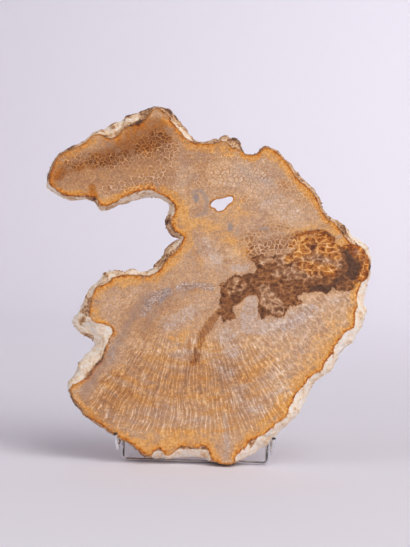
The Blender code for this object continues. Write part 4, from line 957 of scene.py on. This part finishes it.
def polishedCoral():
    material, tree, shader = newMaterial("polishedCoral")
    place, edge = stored(tree, "place", "Vector"), stored(tree, "edge")
    spot = placeGroup(tree, wander, Spot=place, Pitch=9.0, Reach=2.4)["Spot"]
    broad, middle = noised(tree, place, 38.0), noised(tree, place, 13.0, 4.0, 0.6)
    small, fine = noised(tree, place, 5.0, 4.0, 0.6), noised(tree, place, 2.1, 3.0, 0.65)
    ragged = added(tree, 0.0, (middle, 0.45), (small, 0.35), (fine, 0.2))

    def broken(name, reach=1.6):
        # a marked area eaten into by the noise
        eaten = times(tree, stored(tree, name), added(tree, 1.0 - reach, (ragged, 2 * reach)))
        return ramped(tree, eaten, 0.08, 0.95)

    slants = worked(tree, "MAXIMUM", stored(tree, "slant"), stored(tree, "leftSlant"))
    leaning = worked(tree, "MAXIMUM", stored(tree, "fan"), slants)
    upright = ramped(tree, leaning, 0.6, 0.1)
    show = times(tree, upright, added(tree, 0.16, (broken("rings"), 0.84)), scaled(tree, small, 0.5, 1.1))
    wall, ring, pock = crossCut(tree, spot, show)
    fanShow, fanWall, fanChance, fibre, band = fanCut(tree, small)
    slantWall, slantHollow = slantCut(tree, spot, small, "slant", 38, 3.0, 4.6)
    leftWall, leftHollow = slantCut(tree, spot, small, "leftSlant", -40, 3.6, 2.6)

    # tone runs from dark to light, rust from grey to orange
    grain = noised(tree, place, 1.7, 2.0, 0.7)
    tone = added(tree, 0.33, (middle, 0.12), (small, 0.14), (fine, 0.14), (grain, 0.18))
    tint = noised(tree, place, 2.7, 2.0, 0.6)
    rust = added(tree, -0.08, (broad, 0.24), (middle, 0.24), (small, 0.14), (fine, 0.08), (tint, 0.32))
    amber, umber, milk = broken("amber"), broken("umber"), broken("milk")
    margin = ramped(tree, swung(tree, edge, ragged, 6.0), 6.0, 0.5)
    spots = times(tree, margin, amber, ramped(tree, noised(tree, place, 3.6, 3.0, 0.6), 0.48, 0.72))
    ravel = added(tree, 0.0, (small, 0.6), (fine, 0.4))
    crack = ramped(tree, swung(tree, stored(tree, "crack"), ravel, 6.0), 0.0, 1.4)
    crack = times(tree, crack, scaled(tree, fine, 0.5, 1.3), added(tree, 1.0, (fanWall, -0.6)))
    netted = ramped(tree, swung(tree, stored(tree, "netted"), middle, 0.6), 0.2, 0.45)
    line = times(tree, ramped(tree, swung(tree, edge, fine, 1.0), 2.0, 0.9), scaled(tree, middle, 0.0, 1.2))
    # the broad darkening mask is partly the stone's darker tone and partly painted shade
    tone = added(tree, tone, (stored(tree, "darkToneAndShade"), -0.15), (umber, -0.2), (spots, -0.26), (crack, -0.3),
                 (milk, 0.07), (amber, -0.01), (line, -0.34))
    rust = added(tree, rust, (amber, 0.36), (umber, 0.3), (milk, -0.3), (margin, 0.14), (spots, 0.3),
                 (crack, 0.12), (line, 0.5))
    pocked = ramped(tree, swung(tree, stored(tree, "pocked"), middle, 0.9), 0.1, 0.8)
    tone = added(tree, tone, (times(tree, wall, scaled(tree, netted, 0.15, -0.36)), 1.0), (pocked, -0.06),
                 (netted, 0.06))
    tone = added(tree, tone, (times(tree, ring, scaled(tree, netted, -0.34, 0.06)), 1.0))
    tone = added(tree, tone, (times(tree, pock, pocked), -0.2))
    rust = added(tree, rust, (ring, 0.12))
    fanTone = added(tree, -0.08, (fanWall, 0.32), (fanChance, 0.06), (fibre, 0.08), (band, -0.1))
    tone = added(tree, tone, (times(tree, fanShow, fanTone), 1.0), (slantWall, 0.16), (slantHollow, -0.08))
    tone = added(tree, tone, (leftWall, 0.08), (leftHollow, -0.08))
    fanRust = added(tree, -0.3, (band, 0.6), (fanChance, 0.14), (fanWall, 0.12))
    rust = added(tree, rust, (times(tree, fanShow, fanRust), 1.0), (slantHollow, -0.12), (slantWall, 0.12),
                 (leftHollow, -0.16))

    # brown patch with its paler windows and dark rim
    patch = swung(tree, stored(tree, "patch"), added(tree, 0.0, (small, 0.5), (fine, 0.5)), 4.6)
    window = broken("patchWindow", 1.2)
    net = placeGroup(tree, splinters, Spot=slanted(tree, spot, 96, 1.5), Pitch=5.6, Jitter=1.0)
    netWall = times(tree, ramped(tree, net["Wall"], 0.14, 0.02), scaled(tree, small, 0.35, 1.1))
    netPit = times(tree, ramped(tree, net["Wall"], 0.12, 0.34), scaled(tree, net["Chance"], 0.0, 1.0))
    rim = times(tree, ramped(tree, patch, 1.8, 0.5), scaled(tree, middle, 0.2, 1.0))
    glow = times(tree, stored(tree, "amber"), scaled(tree, middle, 0.3, 1.5))
    brownTone = added(tree, -0.2, (middle, 0.14), (small, 0.3), (fine, 0.2), (grain, 0.12), (rim, -0.16),
                      (netPit, -0.12))
    netTone = added(tree, 0.14, (window, 0.08), (glow, 0.12))
    pitTone = times(tree, netPit, window)
    brownTone = added(tree, brownTone, (window, 0.24), (glow, -0.02), (pitTone, -0.14), (netWall, netTone))
    brownRust = added(tree, 0.24, (middle, 0.2), (small, 0.3), (glow, 0.6), (window, -0.14))
    inPatch = ramped(tree, patch, -0.4, 0.6)
    tone, rust = between(tree, inPatch, tone, brownTone), between(tree, inPatch, rust, brownRust)
    frost = broken("frost")
    flakes = times(tree, frost, ramped(tree, noised(tree, place, 1.8, 2.0, 0.7), 0.52, 0.68))
    tone = added(tree, tone, (flakes, 0.3), (frost, -0.08))
    rust = added(tree, rust, (frost, -0.5))

    colour = blended(tree, rust, toned(tree, tone, coral["grey"]), toned(tree, tone, coral["rusty"]))
    gold = times(tree, amber, scaled(tree, margin, 0.3, 1.0), scaled(tree, small, 0.45, 1.0))
    colour = blended(tree, gold, colour, toned(tree, tone, coral["gold"]))
    slate = ramped(tree, swung(tree, stored(tree, "slate"), ragged, 0.6), 0.1, 0.9)
    slate = times(tree, slate, scaled(tree, grain, 0.5, 0.85))
    colour = blended(tree, slate, colour, coral["slate"])
    colour = blended(tree, times(tree, broken("ink", 1.8), 0.7), colour, coral["ink"])

    plug(tree, shader.inputs["Base Color"], colour)
    plug(tree, shader.inputs["Roughness"], scaled(tree, fine, 0.26, 0.42))
    pits = placeGroup(tree, specks, Spot=place, Pitch=1.6, Share=0.25)["Mask"]
    height = added(tree, 0.0, (fine, 0.2), (pits, -1.0))
    bumped(tree, shader, 0.25, 0.00025, height)
    return material


def chalkRind():
    material, tree, shader = newMaterial("chalkRind")
    place, edge, relief = stored(tree, "place", "Vector"), stored(tree, "edge"), stored(tree, "relief")
    middle, small, fine = (noised(tree, place, pitch, 4.0, 0.6) for pitch in (9.0, 3.4, 1.4))
    chalk = ramped(tree, swung(tree, stored(tree, "chalk"), middle, 0.8), 0.1, 0.7)
    layers = noised(tree, vectored(tree, "MULTIPLY", place, (0.22, 0.22, 1)), 2.4, 3.0, 0.6)
    iron = added(tree, 0.0, (middle, 0.22), (small, 0.3), (fine, 0.26), (layers, 0.24), (chalk, -0.38),
                 (stored(tree, "umber"), 0.5))
    sunk = ramped(tree, swung(tree, relief, fine, 0.8), 0.2, -1.5)
    iron = added(tree, iron, (times(tree, sunk, scaled(tree, chalk, 0.6, 0.34)), 1.0))
    nearFace = ramped(tree, swung(tree, edge, small, 1.6), -1.8, -0.1)
    iron = added(tree, iron, (times(tree, nearFace, scaled(tree, middle, 0.05, 0.4)), 1.0))
    iron = added(tree, iron, (ramped(tree, stored(tree, "patch"), 0.0, 3.0), 0.4))
    dirt = placeGroup(tree, specks, Spot=place, Pitch=2.4, Share=0.36)["Mask"]
    iron = added(tree, iron, (dirt, scaled(tree, chalk, 0.45, 0.14)))
    colour = shaded(tree, toned(tree, iron, coral["crust"]), scaled(tree, fine, 0.9, 1.06))
    plug(tree, shader.inputs["Base Color"], colour)
    plug(tree, shader.inputs["Roughness"], scaled(tree, fine, 0.78, 0.95))
    bumped(tree, shader, 0.7, 0.0009, added(tree, 0.0, (fine, 0.6), (small, 0.6), (layers, 0.5)))
    return material


coralSlab.data.materials.append(polishedCoral())
coralSlab.data.materials.append(chalkRind())
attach(coralSlab, "root")
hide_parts("coral_slab")
print("slab: materials done")

# Bent-rod stand, in millimetres
stand = {
    "rod": 1.8, "pack": 1.9, "sides": 28, "flat": 1.9 * math.cos(math.pi / 10), "gap": 0.3,
    "left": -82.6, "right": 62.2, "top": 152.0, "behind": 26.2, "lowBend": 4.0, "highBend": 12.0,
    "hookOffset": 4.4, "hookHeight": 15.5, "hookFront": -1.1, "hookBend": 4.0, "hookDish": 0.5,
    "tipHeight": 29.0, "tipSplay": {"left": -2.6, "right": 0.8}, "weldTop": 58.0,
    "legInset": 24.0, "legFoot": 137.3, "legDrop": 4.0, "capHeight": 2.0, "capSides": 32,
    "weldHeights": (27.0, 52.0), "weldSizes": (1.2, 1.5, 3.8), "weldRows": 15, "weldSides": 24,
    "weldLumps": 0.16,
    "legWeldInset": 26.0, "legWeldSizes": (3.8, 1.2, 1.5),
}


def leaning(across, up, depth):
    # point of a plane parallel to the slab, before the turn
    lean = slab["lean"]
    y = up * math.sin(lean) + depth * math.cos(lean)
    return np.array([across, y, up * math.cos(lean) - depth * math.sin(lean) + slab["lift"]])


def standToWorld(points):
    return (np.asarray(points) + (slab["originX"], slab["originY"], 0)) * mm


def bentPath(corners, bends):
    # each corner becomes an arc of its centre-line radius, turned evenly from one leg to the next
    path = []
    for i, corner in enumerate(corners):
        if bends[i] <= 0:
            path.append(corner[None])
            continue
        back = corners[i - 1] - corner
        on = corners[(i + 1) % len(corners)] - corner
        back, on = back / np.linalg.norm(back), on / np.linalg.norm(on)
        half = math.acos(np.clip(back @ on, -1, 1)) / 2
        middle = (back + on) / np.linalg.norm(back + on)
        centre = corner + middle * bends[i] / math.sin(half)
        first = (corner + back * bends[i] / math.tan(half) - centre) / bends[i]
        last = (corner + on * bends[i] / math.tan(half) - centre) / bends[i]
        sweep = math.acos(np.clip(first @ last, -1, 1))
        share = np.linspace(0, 1, 17)[:, None]
        arc = np.sin((1 - share) * sweep) * first + np.sin(share * sweep) * last
        path.append(centre + bends[i] * arc / math.sin(sweep))
    return np.vstack(path)


def filledPath(path, closed, step=4.0):
    # extra points on the long straight runs
    ring = np.vstack([path, path[:1]]) if closed else path
    along = np.concatenate([[0], np.cumsum(np.linalg.norm(np.diff(ring, axis=0), axis=1))])
    wanted = np.union1d(along, np.arange(0, along[-1], step))
    wanted = wanted[np.concatenate([[True], np.diff(wanted) > 0.05])]
    if closed:
        wanted = wanted[wanted < along[-1] - 0.05]
    return np.stack([np.interp(wanted, along, column) for column in ring.T], axis=1)


def rodMesh(name, path, radius, side, closed):
    # circle carried along a path: centre + radius (cos a x sideways + sin a x square to both)
    if closed:
        run = np.roll(path, -1, axis=0) - np.roll(path, 1, axis=0)
    else:
        run = np.gradient(path, axis=0)
    run /= np.linalg.norm(run, axis=1)[:, None]
    across = np.cross(run, side)
    across /= np.linalg.norm(across, axis=1)[:, None]
    square = np.cross(run, across)
    angle = np.linspace(0, 2 * math.pi, stand["sides"], endpoint=False)[:, None]
    radius = np.broadcast_to(radius, len(path))
    circle = np.cos(angle) * across[:, None] + np.sin(angle) * square[:, None]
    rings = path[:, None] + radius[:, None, None] * circle
    count, sides = len(path), stand["sides"]
    faces = gridQuads(count, sides, 0, False)
    points = rings.reshape(-1, 3)
    if closed:
        near, ahead = np.arange(sides), (np.arange(sides) + 1) % sides
        last = (count - 1) * sides
        faces = np.vstack([faces, np.stack([near + last, ahead + last, ahead, near], axis=1)])
    faces = faces.tolist()
    if not closed:
        faces += [list(range(sides))[::-1], list(range((count - 1) * sides, count * sides))]
    return meshObject(name, standToWorld(points).tolist(), faces)


def loopRod(name, corners, bends, side):
    return rodMesh(name, filledPath(bentPath(corners, bends), True), stand["rod"], side, True)


def backFrameCorners():
    lean = slab["lean"]
    foot = (stand["flat"] - slab["lift"] + stand["behind"] * math.sin(lean)) / math.cos(lean)
    left, right, top = stand["left"], stand["right"], stand["top"]
    spots = [(left, foot), (left, top), (right, top), (right, foot)]
    return [leaning(across, up, stand["behind"]) for across, up in spots]


def hookPath(x, splay):
    high = leaning(x, stand["weldTop"], stand["behind"])
    low = leaning(x, stand["hookHeight"], stand["behind"])
    front, height = stand["hookFront"], stand["hookHeight"]
    corners = [high, np.array([x, low[1], height]), np.array([x, front, height]),
               np.array([x + splay, front, stand["tipHeight"]])]
    return filledPath(bentPath(corners, [0, stand["hookBend"], stand["hookBend"], 0]), False, 2.0)


def dished(path, radius, size):
    # the same path with both ends hollowed to a shallow dish inside a thin rim
    start, end = path[0], path[-1]
    into = (path[1] - path[0]) / np.linalg.norm(path[1] - path[0])
    out = (path[-1] - path[-2]) / np.linalg.norm(path[-1] - path[-2])
    turn = np.linspace(0, math.pi / 2, 5)[:-1]
    depth = size * (1 - np.cos(math.pi / 2 - turn))
    narrowed = radius - size * (1 - np.cos(turn))[::-1]
    head = start + into * depth[:, None]
    tail = end - out * depth[::-1, None]
    inner = path[1:-1]
    clear = np.minimum(np.linalg.norm(inner - start, axis=1), np.linalg.norm(inner - end, axis=1)) > size
    inner = inner[clear]
    points = np.vstack([head, start + into * size, inner, end - out * size, tail])
    radii = np.concatenate([narrowed, np.full(len(inner) + 2, radius), narrowed[::-1]])
    return points, radii


def weldBead(name, middle, sizes, seed):
    # ball of latitude and longitude rows stretched to three half-sizes, with soft lumps; poles closed
    rows, sides = stand["weldRows"], stand["weldSides"]
    down = np.linspace(0, math.pi, rows)[1:-1, None]
    angle = np.linspace(0, 2 * math.pi, sides, endpoint=False)
    height = np.broadcast_to(np.cos(down), (rows - 2, sides))
    ball = np.stack([np.sin(down) * np.cos(angle), np.sin(down) * np.sin(angle), height], axis=2)
    points = np.vstack([ball.reshape(-1, 3), [[0, 0, 1.0], [0, 0, -1.0]]]) * sizes
    points = points * (1 + stand["weldLumps"] * softNoise(points + 50.0, 1.7, seed)[:, None]) + middle
    faces = gridQuads(rows - 2, sides, 0, True).tolist()
    near, ahead = np.arange(sides), (np.arange(sides) + 1) % sides
    top, bottom, last = len(points) - 2, len(points) - 1, (rows - 3) * sides
    faces += [[int(a), int(b), top] for a, b in zip(near, ahead)]
    faces += [[int(b) + last, int(a) + last, bottom] for a, b in zip(near, ahead)]
    return meshObject(name, standToWorld(points).tolist(), faces)


def plugMesh(name, x):
    # push-on plug turned round its axis: skirt with a rolled lip, domed top
    radius, height, sides = stand["pack"], stand["capHeight"], stand["capSides"]
    seat = stand["tipHeight"] + 2 * stand["gap"]
    ringPoints = np.array([   # share of the radius and of the height
        (0.86, 0.0), (0.97, 0.05), (1.0, 0.16), (1.0, 0.5), (0.985, 0.62), (0.93, 0.76),
        (0.82, 0.88), (0.62, 0.96), (0.35, 0.99),
    ])
    angle = np.linspace(0, 2 * math.pi, sides, endpoint=False)
    across = ringPoints[:, 0:1] * radius
    level = np.broadcast_to(ringPoints[:, 1:] * height, (len(ringPoints), sides))
    points = np.stack([across * np.cos(angle), across * np.sin(angle), level], axis=2)
    points = np.vstack([points.reshape(-1, 3), [[0, 0, 0.0], [0, 0, height]]])
    points = points + (x, stand["hookFront"], seat)
    faces = gridQuads(len(ringPoints), sides, 0, False).tolist()
    near, ahead = np.arange(sides), (np.arange(sides) + 1) % sides
    last, low, high = (len(ringPoints) - 1) * sides, len(points) - 2, len(points) - 1
    faces += [[int(b), int(a), low] for a, b in zip(near, ahead)]
    faces += [[int(a) + last, int(b) + last, high] for a, b in zip(near, ahead)]
    return meshObject(name, standToWorld(points).tolist(), faces)


def buildStand():
    pieces = []
    corners = backFrameCorners()
    low, high = stand["lowBend"], stand["highBend"]
    frameRod = loopRod("backFrameRod", corners, [low, high, high, low], np.array([0, 1.0, 0]))
    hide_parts("back_frame")
    left, right = stand["left"] + stand["legInset"], stand["right"] - stand["legInset"]
    top = leaning(0, stand["top"] - stand["legDrop"], stand["behind"] + 2 * stand["pack"] + 2 * stand["gap"])
    legCorners = [np.array([left, stand["legFoot"], stand["flat"]]), np.array([left, top[1], top[2]]),
                  np.array([right, top[1], top[2]]), np.array([right, stand["legFoot"], stand["flat"]])]
    legRod = loopRod("rearLegRod", legCorners, [high] * 4, np.array([0, 1.0, 0.5]))
    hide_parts("rear_leg")
    pieces += [frameRod, legRod]
    plugs = []
    for word, frameSide, side in (("left", stand["left"], -1), ("right", stand["right"], 1)):
        x = frameSide + side * stand["hookOffset"]
        splay = stand["tipSplay"][word]
        path, radii = dished(hookPath(x, splay), stand["rod"], stand["hookDish"])
        hook = rodMesh(word + "HookRod", path, radii, np.array([1.0, 0, 0]), False)
        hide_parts(word + "_hook")
        plugPiece = plugMesh(word + "Plug", x + splay)
        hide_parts(word + "_cap")
        plugs.append(plugPiece)
        pieces.append(hook)
        for number, up in enumerate(stand["weldHeights"]):
            middle = leaning(frameSide + side * stand["hookOffset"] / 2, up, stand["behind"] + 0.9)
            pieces.append(weldBead(f"{word}Weld{number + 1}", middle, stand["weldSizes"], 40 + number))
    inset = stand["legWeldInset"]
    for number, across in enumerate((left + inset, right - inset)):
        middle = leaning(across, stand["top"] - 2.0, stand["behind"] + stand["pack"] + stand["gap"])
        pieces.append(weldBead(f"legWeld{number + 1}", middle, stand["legWeldSizes"], 50 + number))
    return pieces, plugs


chrome = {"bright": (0.86, 0.86, 0.88, 1), "soft": (0.74, 0.74, 0.77, 1)}
plastic = {"fresh": paint(38, 35, 36), "worn": paint(70, 64, 64)}


def chromedRod():
    material, tree, shader = newMaterial("chromedRod")
    place = addNode(tree, "TexCoord", {}).outputs["Object"]
    scuff = noised(tree, place, 1 / 420.0, 4.0, 0.6)
    cloud = noised(tree, place, 1 / 45.0, 3.0)
    shader.inputs["Metallic"].default_value = 1.0
    colour = blended(tree, ramped(tree, cloud, 0.35, 0.7), chrome["bright"], chrome["soft"])
    plug(tree, shader.inputs["Base Color"], colour)
    plug(tree, shader.inputs["Roughness"], added(tree, 0.06, (ramped(tree, scuff, 0.5, 0.8), 0.16)))
    bumped(tree, shader, 0.08, 0.0002, cloud)
    return material


def mouldedPlug():
    material, tree, shader = newMaterial("mouldedPlug")
    fine = noised(tree, addNode(tree, "TexCoord", {}).outputs["Object"], 1 / 1600.0, 3.0)
    plug(tree, shader.inputs["Base Color"], blended(tree, fine, plastic["fresh"], plastic["worn"]))
    plug(tree, shader.inputs["Roughness"], scaled(tree, fine, 0.38, 0.6))
    bumped(tree, shader, 0.2, 0.0001, fine)
    return material


rods, plugs = buildStand()
for pieces, finish, slot in ((rods, chromedRod(), "chrome"), (plugs, mouldedPlug(), "black_plastic")):
    for piece in pieces:
        piece.data.materials.append(finish)
        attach(piece, "root")
print("stand: rods, welds and plugs done")

# Camera, lights and floor
view = {
    "target": (-2.4, -48.3, 191.2), "distance": 1700.0, "drop": math.radians(2.0), "roll": math.radians(1.8),
    "lens": 111.9, "sensor": 36.0, "clip": 20.0,
}


def addCamera():
    data = bpy.data.cameras.new("camera")
    data.lens = view["lens"]
    data.sensor_width = view["sensor"]
    data.clip_end = view["clip"]
    target = Vector(view["target"]) * mm
    back = Vector((0, -math.cos(view["drop"]), math.sin(view["drop"])))
    up = Vector((-math.sin(view["roll"]), 0, math.cos(view["roll"])))
    right = up.cross(back).normalized()
    up = back.cross(right)
    camera = bpy.data.objects.new("camera", data)
    place = Matrix.Translation(target + back * view["distance"] * mm)
    camera.matrix_world = place @ Matrix((right, up, back)).transposed().to_4x4()
    bpy.context.scene.collection.objects.link(camera)
    bpy.context.scene.camera = camera


addCamera()

studio = {
    "width": 9.0, "front": -4.0, "bend": 2.2, "bendRadius": 1.0, "height": 4.0,
    "floorColour": (0.85, 0.82, 0.885, 1), "paleColour": (0.80, 0.78, 0.86, 1),
    "ambientColour": (0.33, 0.32, 0.345, 1),
    "horizonColour": (0.52, 0.50, 0.55, 1), "overheadColour": (0.04, 0.04, 0.045, 1),
    # place, aim and size in metres, power in watts, spread in degrees, colour, seen in bright metal
    "lights": {
        "keyLight": ((1.5, -1.7, 1.9), (0.0, 0.0, 0.18), 2.8, 22.0, 100, (1.0, 0.985, 0.96), True),
        "fillLight": ((-1.9, -1.5, 1.1), (0.0, 0.0, 0.2), 1.6, 8.5, 180, (0.97, 0.98, 1.0), True),
        "backdropLight": ((2.2, 0.8, 2.6), (0.6, 3.1, 1.0), 1.6, 26.0, 110, (1.0, 0.98, 1.0), False),
    },
}


def addSweep():
    # floor profile that bends up into a wall, carried straight along X
    bend = np.linspace(0, math.pi / 2, 24)
    radius = studio["bendRadius"]
    y = np.concatenate([[studio["front"]], studio["bend"] + radius * np.sin(bend),
                        [studio["bend"] + radius]])
    z = np.concatenate([[0], radius * (1 - np.cos(bend)), [studio["height"]]])
    x = np.array([-0.5, 0.5]) * studio["width"]
    points = np.stack([np.tile(x, len(y)), np.repeat(y, 2), np.repeat(z, 2)], axis=1)
    row = np.arange(len(y) - 1)[:, None] * 2
    sweep = meshObject("studioSweep", points.tolist(), (row + np.array([0, 1, 3, 2])).tolist())
    paper, tree, shader = newMaterial("palePaper")
    shader.inputs["Base Color"].default_value = studio["floorColour"]
    shader.inputs["Roughness"].default_value = 0.9
    shader.inputs["Specular IOR Level"].default_value = 0.2
    sweep.data.materials.append(paper)


def addLights():
    for name, (place, aim, size, power, spread, colour, inMetal) in studio["lights"].items():
        data = bpy.data.lights.new(name, "AREA")
        data.shape, data.size, data.energy, data.color = "DISK", size, power, colour
        data.spread = math.radians(spread)
        lamp = bpy.data.objects.new(name, data)
        lamp.location = place
        lamp.rotation_euler = (Vector(aim) - Vector(place)).to_track_quat("-Z", "Y").to_euler()
        lamp.visible_camera, lamp.visible_glossy = False, inMetal
        bpy.context.scene.collection.objects.link(lamp)


def addWorld():
    # pale where seen, even where it lights; in reflections pale at the horizon, dim overhead and in front
    world = bpy.data.worlds.new("studioWorld")
    world.use_nodes = True
    tree = world.node_tree
    direction = addNode(tree, "TexCoord", {}).outputs["Generated"]
    parts = addNode(tree, "SeparateXYZ", {0: direction}).outputs
    room = blended(tree, ramped(tree, parts[2], 0.1, 0.6), studio["horizonColour"], studio["overheadColour"])
    room = blended(tree, ramped(tree, parts[1], -0.55, -0.8), room, studio["overheadColour"])
    ray = addNode(tree, "LightPath", {}).outputs
    room = blended(tree, ray["Is Glossy Ray"], studio["ambientColour"], room)
    shown = blended(tree, ray["Is Camera Ray"], room, studio["paleColour"])
    plug(tree, tree.nodes["Background"].inputs["Color"], shown)
    bpy.context.scene.world = world


bpy.context.scene.view_settings.view_transform = "Standard"
addSweep()
addLights()
addWorld()
print("studio: floor, lights and camera in place")
